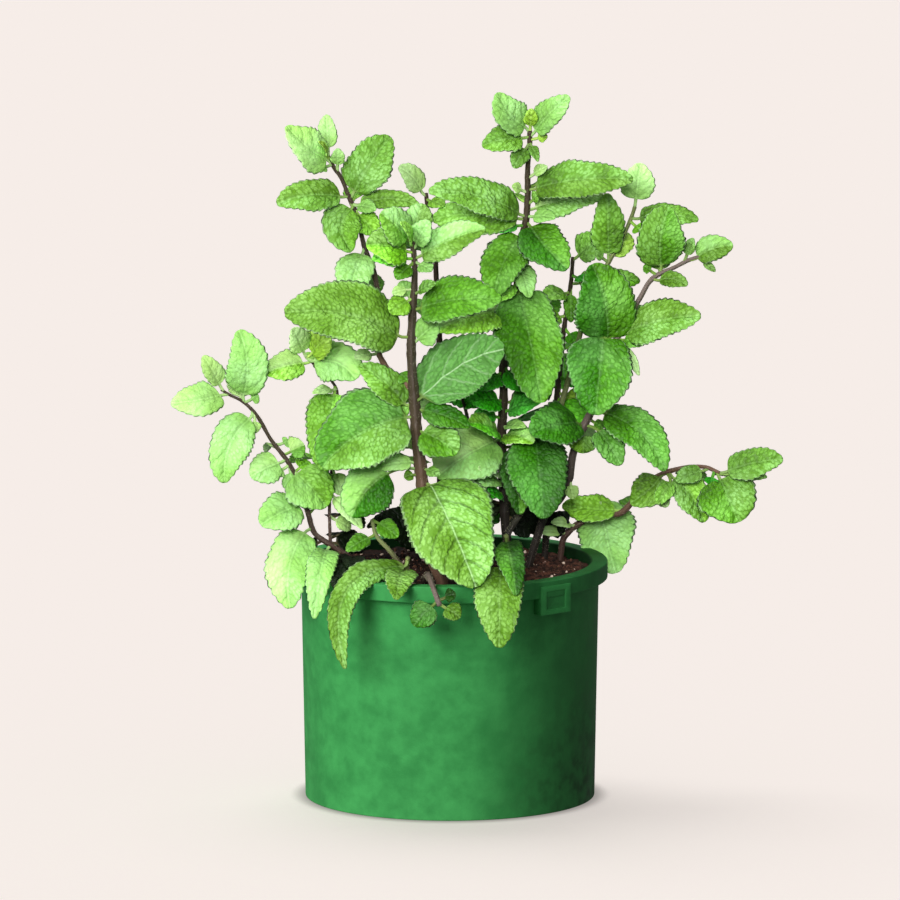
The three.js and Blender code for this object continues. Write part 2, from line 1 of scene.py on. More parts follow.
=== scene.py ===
# The looks of a potted mint plant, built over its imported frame.
# The tables and shapes are in millimetres, as in the part's source, and every mesh is written in metres.
import math
from dataclasses import dataclass, field
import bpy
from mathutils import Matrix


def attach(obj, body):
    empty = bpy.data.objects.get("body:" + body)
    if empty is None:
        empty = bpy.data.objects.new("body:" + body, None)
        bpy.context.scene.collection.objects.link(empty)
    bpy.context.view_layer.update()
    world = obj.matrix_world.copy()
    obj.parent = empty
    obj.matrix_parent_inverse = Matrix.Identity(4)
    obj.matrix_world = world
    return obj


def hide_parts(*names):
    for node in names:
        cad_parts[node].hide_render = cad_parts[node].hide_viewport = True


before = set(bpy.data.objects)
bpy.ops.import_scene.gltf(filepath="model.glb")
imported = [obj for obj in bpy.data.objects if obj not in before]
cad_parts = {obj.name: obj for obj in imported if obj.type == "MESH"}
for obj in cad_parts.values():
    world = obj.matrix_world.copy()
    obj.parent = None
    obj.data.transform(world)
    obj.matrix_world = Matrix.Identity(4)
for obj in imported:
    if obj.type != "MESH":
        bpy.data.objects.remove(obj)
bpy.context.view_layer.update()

from types import SimpleNamespace

import bmesh
import bpy
import numpy as np

MM = 0.001

# The pot
POT_HEIGHT = 120
FOOT_RADIUS = 73
BODY_TOP_RADIUS = 75
RIM_RADIUS = 79.5
RIM_HEIGHT = 8.5
EDGE_ROUND = 0.7
WALL = 4
FLOOR = 4
POT_SIDES = 180
DRAIN_HOLES = 6
DRAIN_RADIUS = 4
DRAIN_CIRCLE = 46
DRAIN_PATCH = 9
HOLE_RINGS = 5
PATCH_ROWS = 12
EDGE_STEPS = 4
WELDED_WITHIN = 0.01
# The radii over which painted shade on the pot's inner wall comes in
INSIDE_SHADE_FROM = 72.2
INSIDE_SHADE_TO = 71.6

# The bare raised frame on the front right of the rim
LABEL_TURN = math.radians(41.7)
LABEL_WIDTH = 20
LABEL_HEIGHT = 14.6
LABEL_BORDER_SIDE = 3.7
LABEL_BORDER_END = 2.9
LABEL_MIDDLE = 110.3
LABEL_FACE = 79.9
LABEL_DEPTH = 6.5
LABEL_RECESS = 0.9
LABEL_ROUND = 0.35
LABEL_CORNER = 0.5
CORNER_STEPS = 5
RECESS_ROUND = 0.15
RECESS_RISE = 0.1
# How far under the frame's face its painted highlight comes in
LABEL_HIGHLIGHT_FROM = 0.3
LABEL_HIGHLIGHT_TO = 0.15

# The soil, with the heights and sizes of its lumps, and its loose crumbs
SOIL_LEVEL = 115
SOIL_GAP = 0.3
SOIL_DIP = 5
CLOD_HEIGHT = 1.3
SOIL_LUMPS = ((0.8, 4.3), (0.5, 1.9))
LUMP_GRID = 64
SOIL_SIDES = 200
SOIL_RINGS = 70
SOIL_MIDDLE = 0.4
CRUMBS = 1500
CRUMB_SMALLEST = 0.35
CRUMB_SPREAD = 0.95
CRUMB_MARGIN = 4
CRUMB_STANDS = 0.25
CRUMB_LATITUDES = (-60, -20, 20, 60)
CRUMB_SIDES = 7
CRUMB_UNEVEN_RANGE = (0.6, 1.25)
CRUMB_SQUASH_RANGE = (0.6, 1.2)
CRUMB_SEED = 11
STEM_CLEARS_SOIL = 3
STEM_BURIED = 8

# The leaves. A range gives the least and the most of what it names.
PETIOLE_HALF_WIDTH = 0.85
PETIOLE_HALF_THICK = 0.7
PETIOLE_LENGTH = 4.5
PETIOLE_STEP = 2
BLADE_HALF_THICK = 0.28
# The blade's outline is a sine: one power moves its widest place to the foot and one makes it rounder. The
# blade is wider than its row says, because it is seen tipped.
BLADE_WIDEST = 0.72
BLADE_ROUND = 0.52
BLADE_END = 0.994
TIPPED = 1.14
BLADE_FOLD = math.radians(12)
BLADE_DROOP = 0.12
BLADE_TWIST = math.radians(14)
ARCH_SHARE = 0.1
TOOTH_PITCH = 3.3
TOOTH_DEPTH = 1.1
TOOTH_DEPTH_SHARE = 0.05
TOOTH_RISE = 0.8
TEETH_RANGE = (6, 18)
ROWS_IN_TOOTH = 5
# The widths that a leaf has to pass to get so many columns
LEAF_COLUMNS = ((30, 23), (14, 17), (0, 13))
VEIN_SPACING = 12.5
VEIN_RANGE = (3.5, 8)
VEIN_LEAN = 0.9
VEIN_CURVE = 0.5
DOME_HEIGHT = 1.4
MIDRIB_DEPTH = 0.6
MIDRIB_WIDTH = 1.4
FULL_RELIEF_WIDTH = 24
MARGIN_WAVE = 0.022
MARGIN_WAVES_RANGE = (1.5, 3.2)
EDGE_SWING = 0.07
EDGE_SWINGS_RANGE = (0.8, 1.6)
# Each leaf's own shade, and its own place in the noise of its surface
LEAF_SHADE_RANGE = (0.94, 1.06)
LEAF_PLACE_RANGE = (0, 900)
LEAF_SEED = 7

# The stems
LINE_STEPS = 40
STEM_STEP = 1.5
STEM_SIDES = 16
STEM_SQUARE = 0.14
NODE_SWELLING = 0.16
NODE_LENGTH = 1.8
BARK_CHANGE = (0.1, 0.6)
HAIRS_IN_STEP = 4
HAIR_LENGTH = 1.3
HAIR_RADIUS = 0.09
HAIR_LEAN = 0.5
HAIR_ROOT = 0.9
HAIR_SHARE_RANGE = (0.4, 1)

# The view: the photograph looks down a little, through a very long lens.
SEEN_FROM = math.radians(9.5)
VIEW_SIN = math.sin(SEEN_FROM)
VIEW_COS = math.cos(SEEN_FROM)
VIEW_WIDTH = 453.1
VIEW_MIDDLE = 176.1
VIEW_DISTANCE = 7200
SENSOR_WIDTH = 36
CLIP_END_METRES = 100

# The floor, and the dark of its shade where the pot stands
FLOOR_TONE = (245, 236, 231)
FLOOR_GLOW = 0.62
FLOOR_REACH = 14000
FLOOR_CURVE = 6000
FLOOR_MIDDLE = 500
FLOOR_SIDES = 96
FLOOR_CURVE_STEPS = 12
CONTACT_FROM = 72
CONTACT_TO = 82
CONTACT_SHADE = 0.5

# The lamps: azimuth, elevation, strength and softness in degrees of each
KEY_LAMP = (-37, 26, 0.76, 36)
FILL_LAMP = (-2, 20, 0.74, 14)
HIGH_LAMP = (-160, 66, 0.34, 40)
SURROUND = 0.18

# The surfaces: how large their patterns are and how deep their bumps, in millimetres
LEAF_GRAIN = 1.2
LEAF_CLOUD = 22
LEAF_WANDER = 3
LEAF_PAD = 1.9
LEAF_BUMP = 0.6
STEM_STREAK = 0.6
STEM_FLECK = 0.9
STEM_BUMP = 0.25
POT_CLOUD = 20
POT_BLOTCH = 7
POT_GRAIN = 0.9
POT_BUMP = 0.1
SOIL_COARSE = 4
SOIL_FINE = 1.2
SOIL_SPECK = 3.2
SOIL_BUMP = 0.5
CRUMB_GRAIN = 0.8
CRUMB_BUMP = 0.3
FLOOR_GRAIN = 4

# The surfaces' other colours
PAINTS = {
    "leaf lush": (206, 226, 66),
    "leaf pale": (216, 248, 200),
    "leaf dull": (160, 204, 140),
    "leaf stalk": (120, 104, 72),
    "stem fleck": (178, 164, 140),
    "stem hair": (196, 190, 160),
    "pot dull": (60, 158, 80),
    "pot bright": (80, 190, 100),
    "pot painted shade": (24, 66, 32),
    "pot shade blotch": (14, 44, 20),
    "soil dark": (40, 24, 20),
    "soil brown": (104, 66, 52),
    "soil speck": (206, 176, 160),
}
# The crumbs' colours, and the share of the crumbs that has each
CRUMB_TONES = ((58, 36, 28), (96, 62, 48), (34, 22, 18), (214, 190, 172))
CRUMB_SHARES = (0.4, 0.32, 0.2, 0.08)

# Leaf tones, as they look in plain light
TONES = {
    "milky": (206, 252, 166),
    "lemon": (200, 250, 112),
    "pale": (188, 245, 148),
    "mint": (165, 225, 134),
    "lime": (169, 236, 96),
    "spring": (156, 236, 70),
    "fresh": (141, 202, 89),
    "sage": (130, 186, 92),
    "leafy": (132, 196, 68),
    "apple": (118, 228, 44),
    "grass": (112, 182, 50),
    "olive": (122, 171, 73),
    "mid": (98, 163, 41),
    "jade": (58, 190, 24),
    "deep": (82, 150, 32),
    "dark": (60, 132, 18),
    "shade": (42, 96, 14),
    # Near black, for leaves that stand for painted shadow low among the stems
    "painted_shadow": (12, 26, 8),
}
# Stem tones
BARKS = {
    "tan": (112, 84, 66),
    "plum": (70, 48, 40),
    "umber": (60, 48, 32),
    "soot": (34, 28, 22),
    "lilac": (110, 96, 88),
    "green": (122, 134, 78),
}


@dataclass
class Leaf:
    """A leaf, from its foot across and up to its tip across, up and back, as it is seen from the front.

    Its right half may have its own tone. It is turned in degrees about its length, pushed aside by its bend
    and up out of its face by its arch, and its face looks across, back and up. Veins says from 0 to 1 how
    much its side veins and the domes between them stand out.
    """

    foot: tuple
    tip: tuple
    width: float
    tone: str
    right: str = None
    turn: float = 0
    bend: float = 0
    arch: float = None
    face: tuple = (0, -0.8, 0.6)
    veins: float = 0.4


def behind(foot, tip, width, tone):
    """A leaf on the far side of the plant, whose face turns up and to the back."""
    return Leaf(foot, tip, width, tone, face=(0, 0.55, 0.85))


@dataclass
class Twig:
    """A side branch, with its radius at both ends and its path across, up and back."""

    low: float
    top: float
    path: list


@dataclass
class Stem:
    """A leafy stem, from its root in the soil. Its bark is named for its low end and its top."""

    name: str
    root: tuple
    low: float
    top: float
    bark: tuple
    path: list
    leaves: list
    twigs: list = field(default_factory=list)


STEMS = [
    Stem(
        "stem_centre",
        root=(-4, -46),
        low=3.2,
        top=1.1,
        bark=("tan", "umber"),
        path=[
            (-9, 120, -46), (-13, 148, -45), (-14.6, 164, -44), (-16.6, 179, -42), (-17.4, 193, -40),
            (-19, 214, -37), (-19.4, 226, -35), (-18.6, 245, -32), (-17.6, 265, -30), (-19, 280, -29),
        ],
        twigs=[
            Twig(
                low=1.4,
                top=0.9,
                path=[
                    (-18.6, 203, -38), (-24, 209, -35), (-31, 214, -30), (-37, 226, -22), (-37, 240, -16),
                    (-36.5, 253, -12), (-38, 262, -10), (-43, 276, -7), (-47, 292, -4), (-50, 299, -3),
                    (-55, 311, -2), (-58, 315, -2), (-61, 321, -2),
                ],
            ),
        ],
        leaves=[
            Leaf((-10, 156), (13, 105, -87), 42, "sage", right="olive", arch=7, veins=1),
            Leaf((-26, 231), (-83, 242, -48), 33, "olive", bend=3),
            Leaf((-22, 190), (-64, 165, -54), 39, "sage", right="deep", bend=3),
            Leaf((-23, 197), (-46, 216, -34), 16, "fresh", right="sage", bend=1),
            Leaf((-31, 162), (-49, 140, -48), 26, "dark", right="mint", bend=2),
            Leaf((-14, 199), (27, 224, -48), 31, "dark", turn=180, bend=7, veins=0.8),
            Leaf((-16, 244), (26, 249, -46), 24, "mid"),
            Leaf((-15, 195), (10, 185, -46), 13, "dark", right="deep"),
            Leaf((-15, 184), (4, 172, -52), 20, "sage", right="grass"),
            Leaf((-13, 165), (-5, 161, -50), 6, "sage"),
            Leaf((-20, 250), (-30, 242, -38), 12, "lime"),
            Leaf((-20, 255), (-29, 252, -33), 6, "milky"),
            Leaf((-19, 272), (-42, 276, -40), 20, "spring", right="olive"),
            Leaf((-19, 277), (-35, 292, -38), 18, "leafy", right="mint"),
            Leaf((-18, 278), (-14, 297, -18), 14, "mint", right="olive"),
            Leaf((-19, 268), (-27, 259, -38), 9, "grass"),
            Leaf((-17, 270), (18, 284, -40), 18, "mint", right="olive"),
            Leaf((-18, 274), (-10, 288, -38), 12, "mint"),
            Leaf((-19, 276), (-25, 287, -48), 9, "lime"),
            Leaf((-18, 268), (-9, 263, -38), 8, "mint"),
            # Up the side branch
            Leaf((-60, 317), (-82, 336, -12), 20, "pale", bend=-3),
            Leaf((-61, 321), (-62, 342, 6), 9, "pale"),
            Leaf((-61, 320), (-66, 328, -16), 5, "lemon"),
            Leaf((-49, 300), (-30, 331, 4), 22, "sage"),
            Leaf((-46, 299), (-15, 296, -8), 10, "olive", bend=-2),
            Leaf((-53, 300), (-87, 297, -12), 17, "sage", right="olive", bend=1),
            Leaf((-53, 297), (-49, 273, -18), 19, "fresh", right="sage", bend=5),
            Leaf((-47, 295), (-37, 281, -14), 13, "lime", right="leafy"),
            Leaf((-42, 276), (-52, 248, -24), 18, "mint"),
            # On the far side
            behind((-15, 166), (-37, 167, -8), 28, "fresh"),
            behind((-18, 200), (-35, 193, -6), 20, "leafy"),
            behind((-37, 240), (-54, 243, 32), 22, "mid"),
            behind((-36, 252), (-51, 262, 34), 15, "mid"),
            behind((-46, 290), (-59, 286, 32), 16, "mid"),
            behind((-50, 299), (-37, 309, 30), 15, "spring"),
            # Smaller ones between them
            Leaf((-19, 270), (-39, 269, -36), 11, "apple"),
            Leaf((-17, 252), (-7, 257, -42), 7, "sage"),
            Leaf((-18, 227), (-6, 237, -34), 15, "mint"),
            Leaf((-18, 206), (-25, 212, -34), 8, "grass"),
            Leaf((-17, 247), (-25, 258, -30), 9, "mint"),
            Leaf((-13, 163), (-23, 160, -46), 6, "olive"),
            Leaf((-19, 198), (-26, 191, -36), 7, "leafy"),
            Leaf((-18, 168), (-36, 165, -44), 9, "pale"),
            Leaf((-58, 312), (-56, 325, -6), 7, "pale"),
            Leaf((-60, 317), (-67, 314, -8), 6, "mint"),
            Leaf((-48, 298), (-37, 294, -12), 8, "mint"),
            Leaf((-36, 222), (-48, 220, -30), 7, "milky"),
        ],
    ),
    Stem(
        "stem_behind",
        root=(-6, 30),
        low=2,
        top=0.9,
        bark=("soot", "plum"),
        path=[
            (-5, 150, 29), (-4, 200, 27), (-6, 240, 25), (-7, 262, 24), (-7.5, 272, 23), (-11, 290, 21),
            (-12, 303, 20),
        ],
        leaves=[
            Leaf((-11, 301), (-26, 316, 14), 12, "milky", bend=1),
            Leaf((-11, 300), (-3, 296, 8), 9, "lime"),
            behind((-5, 138), (-42, 134, 40), 24, "painted_shadow"),
            behind((-5, 144), (24, 136, 62), 24, "jade"),
            behind((-5, 170), (-40, 178, 42), 26, "lemon"),
            behind((-4, 174), (14, 170, 70), 24, "mid"),
            behind((-5, 204), (-14, 192, 64), 20, "milky"),
            behind((-6, 236), (-14, 249, 58), 18, "mid"),
            behind((-8, 277), (8, 279, 42), 13, "mid"),
            behind((-8, 273), (-28, 276, 38), 15, "mid"),
            Leaf((-6, 126), (-38, 138, 12), 22, "painted_shadow"),
            Leaf((-6, 124), (20, 142, 10), 18, "painted_shadow"),
            behind((-5, 222), (18, 214, 30), 26, "shade"),
            Leaf((-5, 210), (16, 196, 8), 20, "jade"),
            Leaf((-5, 180), (12, 166, 14), 20, "dark"),
            Leaf((-6, 246), (12, 250, 14), 14, "olive"),
        ],
    ),
    Stem(
        "stem_top",
        root=(30, 14),
        low=2.3,
        top=1.1,
        bark=("soot", "umber"),
        path=[
            (28, 135, 14), (27, 153, 13), (26, 179, 11), (27, 201, 9), (27, 219, 8), (31, 245, 7),
            (34, 257, 6), (34, 268, 6), (36, 280, 5), (38, 288, 4), (39, 300, 4), (39, 315, 3),
            (40, 327, 3), (40, 334, 3),
        ],
        leaves=[
            Leaf((38, 333), (24, 353, 0), 17, "mint", bend=-3),
            Leaf((41, 331), (60, 351, -2), 14, "mint"),
            Leaf((38, 331), (16, 326, -4), 15, "fresh", right="sage"),
            Leaf((38, 328), (32, 315, -4), 9, "sage"),
            Leaf((41, 328), (44, 318, -14), 5, "sage"),
            Leaf((41, 305), (92, 309, -12), 20, "sage", right="olive"),
            Leaf((38, 295), (77, 302, 10), 17, "milky", right="sage"),
            Leaf((39, 288), (59, 264, -18), 22, "mid", right="dark", bend=2),
            Leaf((36, 291), (-11, 303, -12), 20, "sage", bend=2),
            Leaf((37, 290), (-9, 290, 10), 20, "fresh"),
            Leaf((35, 285), (22, 250, -14), 21, "mid", right="grass", bend=2),
            Leaf((35, 256), (46, 197, -26), 31, "mid", right="deep"),
            Leaf((33, 244), (-8, 233, -30), 24, "lime", right="milky"),
            Leaf((35, 270), (40, 250, -10), 11, "mint"),
            Leaf((26, 199), (10, 198, -8), 17, "jade"),
            Leaf((25, 181), (9, 187, -14), 15, "apple", right="fresh"),
            Leaf((24, 180), (-7, 160, -8), 30, "mint", right="milky"),
            Leaf((28, 182), (42, 177, -14), 14, "pale", right="lime"),
            Leaf((33, 174), (35, 141, -14), 16, "mid", right="shade"),
            Leaf((43, 180), (47, 139, -30), 29, "shade", right="dark"),
            Leaf((27, 150), (19, 153, -2), 10, "jade"),
            Leaf((26, 158), (13, 156, -8), 10, "mint"),
            # On the far side
            behind((28, 152), (52, 147, 58), 24, "mid"),
            behind((26, 184), (54, 189, 42), 23, "jade"),
            behind((26, 178), (11, 176, 30), 17, "mid"),
            behind((27, 197), (51, 203, 16), 28, "dark"),
            behind((27, 217), (0, 224, 42), 23, "mid"),
            behind((32, 248), (54, 243, 42), 20, "spring"),
            behind((31, 244), (8, 244, 40), 20, "leafy"),
            behind((35, 275), (21, 272, 44), 16, "mid"),
            behind((39, 306), (64, 309, 26), 17, "mid"),
            behind((39, 299), (17, 302, 32), 17, "lime"),
            # Smaller ones between them
            Leaf((40, 333), (41, 345, 0), 7, "lemon"),
            Leaf((40, 311), (49, 316, 0), 6, "milky"),
            Leaf((27, 213), (13, 204, -4), 15, "jade"),
            Leaf((29, 216), (36, 203, -2), 12, "jade"),
            Leaf((26, 190), (12, 192, 2), 9, "jade"),
            Leaf((28, 193), (46, 198, -4), 13, "jade"),
            Leaf((27, 186), (38, 185, -6), 7, "pale"),
            Leaf((26, 160), (14, 164, -10), 9, "milky"),
            Leaf((27, 153), (15, 149, -6), 9, "jade"),
            behind((28, 150), (44, 130, 36), 18, "painted_shadow"),
            behind((27, 150), (12, 134, 30), 16, "painted_shadow"),
            Leaf((35, 287), (19, 284, 0), 8, "jade"),
            Leaf((39, 291), (53, 290, -4), 8, "mint"),
            Leaf((33, 258), (24, 248, -8), 9, "spring"),
            Leaf((41, 330), (49, 331, 2), 6, "lemon"),
            Leaf((38, 303), (31, 306, 0), 6, "milky"),
            Leaf((39, 298), (45, 302, 0), 7, "fresh"),
            Leaf((30, 142), (40, 130, 18), 10, "painted_shadow"),
        ],
    ),
    Stem(
        "stem_right",
        root=(40, 2),
        low=2.1,
        top=0.8,
        bark=("soot", "lilac"),
        path=[
            (44, 130, 2), (48, 141, 2), (56, 150, 1), (60, 160, 0), (62, 172, -1), (67, 185, -3),
            (73, 197, -5), (81, 224, -8), (84, 230, -8), (90, 241, -9), (96, 251, -10), (100, 258, -10),
            (105, 262, -10), (112, 265, -11), (120, 269, -12), (130, 272, -13),
        ],
        leaves=[
            Leaf((106, 262), (110, 296, -12), 23, "sage", right="mid", bend=-2),
            Leaf((119, 271), (142, 276, -14), 14, "mint", right="olive", bend=-1),
            Leaf((124, 272), (133, 263, -18), 4, "olive"),
            Leaf((101, 261), (119, 256, -20), 9, "olive", bend=-1),
            Leaf((86, 231), (126, 241, -22), 22, "olive", right="sage"),
            Leaf((87, 226), (95, 211, -16), 5, "milky"),
            Leaf((77, 230), (73, 191, -28), 31, "deep", right="dark"),
            Leaf((79, 230), (71, 267, -14), 30, "dark", right="mid", bend=2),
            Leaf((78, 192), (108, 163, -24), 20, "deep", bend=-4),
            Leaf((75, 183), (86, 166, -16), 14, "deep"),
            Leaf((64, 187), (40, 182, -24), 24, "dark"),
            behind((80, 222), (81, 200, 30), 13, "apple"),
            behind((90, 241), (104, 244, 26), 17, "mid"),
            behind((105, 262), (105, 280, 24), 14, "mid"),
            Leaf((66, 186), (67, 172, -6), 14, "sage", right="lime"),
            Leaf((70, 190), (77, 184, 0), 6, "grass"),
            Leaf((84, 230), (98, 227, -14), 9, "grass"),
            Leaf((116, 269), (122, 280, -12), 6, "sage"),
            Leaf((60, 160), (62, 149, -2), 7, "milky"),
            Leaf((104, 262), (97, 266, -10), 6, "grass"),
        ],
    ),
    Stem(
        "stem_slender",
        root=(26, -12),
        low=1.6,
        top=0.9,
        bark=("soot", "green"),
        path=[
            (29, 131, -10), (36, 143, -6), (45, 165, 2), (57, 200, 14), (63, 222, 18), (66, 234, 19),
            (67, 241, 19), (73, 256, 18), (80, 268.5, 17), (86, 279, 16), (91, 290, 15), (93, 296, 15),
        ],
        leaves=[
            Leaf((94, 295), (96, 318, 12), 16, "pale"),
            Leaf((94, 290), (125, 289, 8), 13, "sage", bend=-1),
            Leaf((80, 268), (79, 303, 14), 16, "fresh", right="sage"),
            Leaf((81, 268), (90, 283, 30), 13, "lemon"),
            Leaf((91, 289), (96, 284, 12), 8, "spring"),
            Leaf((80, 268), (73, 273, 14), 6, "sage"),
        ],
    ),
    Stem(
        "stem_thin",
        root=(48, 30),
        low=1.6,
        top=0.9,
        bark=("soot", "umber"),
        path=[
            (50, 150, 28), (54, 200, 27), (57.6, 235, 26), (59, 245, 26), (61, 258, 26), (62, 271, 26),
        ],
        leaves=[
            Leaf((63, 269), (77, 281, 20), 16, "leafy", right="sage"),
            Leaf((62, 258), (96, 259, 34), 13, "sage", right="grass"),
            Leaf((59, 254), (46, 250, 10), 10, "leafy"),
            Leaf((54, 203), (68, 192, 25), 16, "lemon"),
            behind((53, 180), (71, 178, 62), 22, "milky"),
            behind((57, 226), (76, 222, 62), 18, "apple"),
            behind((56, 226), (58, 204, 40), 14, "apple"),
            Leaf((58, 241), (51, 240, 20), 9, "lime"),
            Leaf((57, 236), (63, 228, 24), 8, "apple"),
            Leaf((60, 256), (61, 238, 22), 7, "grass"),
            Leaf((54, 200), (66, 180, 12), 20, "apple"),
            Leaf((54, 205), (40, 214, 16), 22, "dark"),
            Leaf((50, 160), (40, 178, 20), 18, "shade"),
            Leaf((49, 128), (60, 142, 24), 12, "painted_shadow"),
            Leaf((49, 130), (38, 148, 24), 16, "painted_shadow"),
            Leaf((56, 210), (66, 206, 20), 8, "jade"),
            Leaf((62, 262), (67, 259, 20), 6, "jade"),
        ],
    ),
    Stem(
        "branch_low_right",
        root=(56, 26),
        low=1.6,
        top=0.9,
        bark=("plum", "tan"),
        path=[
            (58, 130, 26), (68, 138, 27), (80, 141, 26), (85.6, 141.5, 25), (90, 145, 24), (95, 152, 22),
            (104, 160, 20), (111, 163, 18), (120, 165, 16), (129, 165, 14), (136, 162, 12),
        ],
        leaves=[
            Leaf((76, 147), (84, 111, 38), 28, "mint", arch=-4),
            Leaf((86, 144), (57, 146, 34), 15, "lime", bend=-2),
            Leaf((110, 160), (91, 147, 14), 18, "olive", bend=-2),
            Leaf((111, 161), (128, 137, 10), 17, "lime", right="sage", bend=-2),
            Leaf((130, 164), (114, 158, 10), 10, "sage"),
            Leaf((134, 161), (145, 137, 0), 29, "sage", right="grass"),
            Leaf((137, 163), (168, 169, 8), 16, "sage"),
            Leaf((58, 133.5), (44.5, 132.5, 20), 6, "milky"),
            behind((90, 145), (100, 150, 50), 15, "mid"),
            behind((120, 165), (124, 152, 42), 14, "leafy"),
            behind((136, 162), (148, 158, 34), 14, "fresh"),
            Leaf((62, 138), (51, 137, 16), 6, "milky"),
            Leaf((100, 156), (110, 145, 16), 9, "milky"),
            Leaf((137, 163), (160, 160, 14), 8, "fresh"),
            Leaf((111, 157), (105, 146, 8), 9, "leafy"),
            Leaf((133, 163), (131, 156, 8), 7, "jade"),
        ],
    ),
    Stem(
        "branch_left",
        root=(-44, -22),
        low=1.4,
        top=0.65,
        bark=("plum", "umber"),
        path=[
            (-48, 118, -23), (-60, 126, -25), (-68, 132, -24), (-71, 141, -22), (-74, 152, -20),
            (-81, 167, -18), (-90, 179, -16), (-97, 191, -15), (-104, 198, -14), (-110, 201, -14),
            (-115, 204, -14),
        ],
        twigs=[
            Twig(
                low=0.75,
                top=0.6,
                path=[
                    (-60, 126, -25), (-60.5, 138, -20), (-60.5, 148, -16), (-59, 170, -8), (-57, 190, -4),
                    (-57, 204, -2), (-61, 210, -2), (-66, 215, -3), (-72, 220, -5),
                ],
            ),
        ],
        leaves=[
            Leaf((-101, 192), (-113, 157, -26), 20, "mint", bend=4),
            Leaf((-102, 199), (-106, 234, -16), 20, "mint", bend=3),
            Leaf((-111, 201), (-140, 197, -22), 18, "pale", bend=-2),
            Leaf((-114, 204), (-124, 221, -18), 10, "milky"),
            Leaf((-83, 169), (-100, 160, -22), 17, "mint", right="pale"),
            Leaf((-85, 170), (-73, 176, -16), 13, "milky", right="grass"),
            Leaf((-80, 165), (-62, 145, -24), 25, "fresh", right="mint"),
            Leaf((-74, 147), (-95, 136, -34), 21, "mint"),
            Leaf((-73, 132), (-80, 94, -44), 23, "mint", right="pale", bend=4),
            Leaf((-62, 123), (-68, 89, -62), 14, "mint", arch=12),
            Leaf((-60, 152), (-44, 134, -32), 8, "milky"),
            Leaf((-59, 205), (-63, 163, -24), 24, "spring", right="fresh"),
            Leaf((-71, 217), (-93, 212, -12), 16, "lime", right="milky"),
            Leaf((-72, 220), (-79, 235, -10), 12, "milky"),
            Leaf((-71, 222), (-47, 209, -14), 22, "pale", right="mint", bend=-3),
            # On the far side
            behind((-88, 176), (-93, 172, 14), 6, "milky"),
            behind((-104, 198), (-108, 212, 14), 14, "milky"),
            behind((-72, 145), (-82, 148, 14), 9, "lime"),
            behind((-60, 175), (-40, 180, 30), 20, "mid"),
            behind((-60, 165), (-80, 167, 28), 16, "spring"),
            behind((-61, 210), (-70, 222, 28), 15, "lime"),
            # Smaller ones between them
            Leaf((-81, 166), (-79, 152, -20), 9, "mint"),
            Leaf((-79, 162), (-71, 168, -12), 9, "spring"),
            Leaf((-59, 166), (-55, 151, -16), 10, "milky"),
            Leaf((-98, 192), (-98, 182, -16), 6, "milky"),
            Leaf((-103, 197), (-96, 201, -14), 8, "mint"),
            Leaf((-71, 141), (-64, 150, -18), 8, "fresh"),
            behind((-60, 140), (-44, 134, 20), 14, "painted_shadow"),
            behind((-62, 130), (-48, 127, 10), 13, "painted_shadow"),
            Leaf((-60, 141), (-50, 134, -14), 8, "milky"),
            Leaf((-70, 222), (-60, 231, -10), 16, "lemon"),
            Leaf((-59, 204), (-69, 202, -16), 6, "milky"),
            Leaf((-88, 176), (-81, 178, -14), 6, "mint"),
            Leaf((-82, 166), (-88, 161, -20), 7, "pale"),
            Leaf((-60, 128), (-44, 124, -8), 12, "painted_shadow"),
            Leaf((-64, 129), (-70, 124, -16), 7, "painted_shadow"),
            Leaf((-56, 123), (-55, 102, -64), 14, "painted_shadow"),
            Leaf((-50, 120), (-45, 108, -70), 11, "painted_shadow"),
        ],
    ),
    Stem(
        "shoot_front",
        root=(-13, -50),
        low=1.8,
        top=1.3,
        bark=("umber", "lilac"),
        path=[(-12, 110, -57), (-11, 111, -66), (-10, 109.5, -76), (-8, 104, -84.5), (-5, 96, -87)],
        leaves=[
            Leaf((-7, 98), (-18, 86, -90), 14, "dark"),
            Leaf((-5, 97), (5, 90, -89), 10, "olive"),
            Leaf((-5, 100), (3, 102, -88), 7, "shade"),
        ],
    ),
    Stem(
        "shoot_front_left",
        root=(-22, -42),
        low=1.5,
        top=1,
        bark=("umber", "green"),
        path=[(-22, 114, -46), (-21, 120, -50)],
        twigs=[
            Twig(low=1.2, top=0.9, path=[(-22, 113, -45), (-30, 123, -42), (-37, 131, -39), (-39, 139, -37)]),
        ],
        leaves=[
            Leaf((-22, 119), (-52, 64, -84), 14, "sage", right="olive", bend=16, arch=14),
            Leaf((-24, 114), (-27, 99, -90), 15, "olive"),
            Leaf((-38, 131), (-52, 123, -46), 9, "mid"),
            Leaf((-38, 139), (-26, 130, -44), 10, "grass"),
        ],
    ),
    Stem(
        "shoot_front_right",
        root=(27, -34),
        low=1.6,
        top=1.1,
        bark=("umber", "green"),
        path=[(28, 119, -38), (28.5, 126, -46), (28, 131, -52)],
        twigs=[
            Twig(low=1.5, top=1, path=[(28, 119, -38), (26.5, 121, -52), (25, 119, -66)]),
        ],
        leaves=[
            Leaf((25, 118), (24.5, 75, -93), 23, "olive", arch=8),
            Leaf((29, 130), (33, 101, -90), 14, "shade", right="deep", arch=6),
        ],
    ),
    Stem(
        "dry_stem",
        root=(10, 22),
        low=1.2,
        top=0.8,
        bark=("soot", "soot"),
        path=[(12, 150, 20), (12, 175, 14), (9, 189, 10), (7, 197, 7), (5, 203, 6)],
        leaves=[],
    ),
]


def seen(places):
    """Points from how far they lie across, how far up in the front view, and how far back."""
    across, up, back = np.moveaxis(np.asarray(places, float), -1, 0)
    return np.stack([across, back, (up - back * VIEW_SIN) / VIEW_COS], axis=-1)


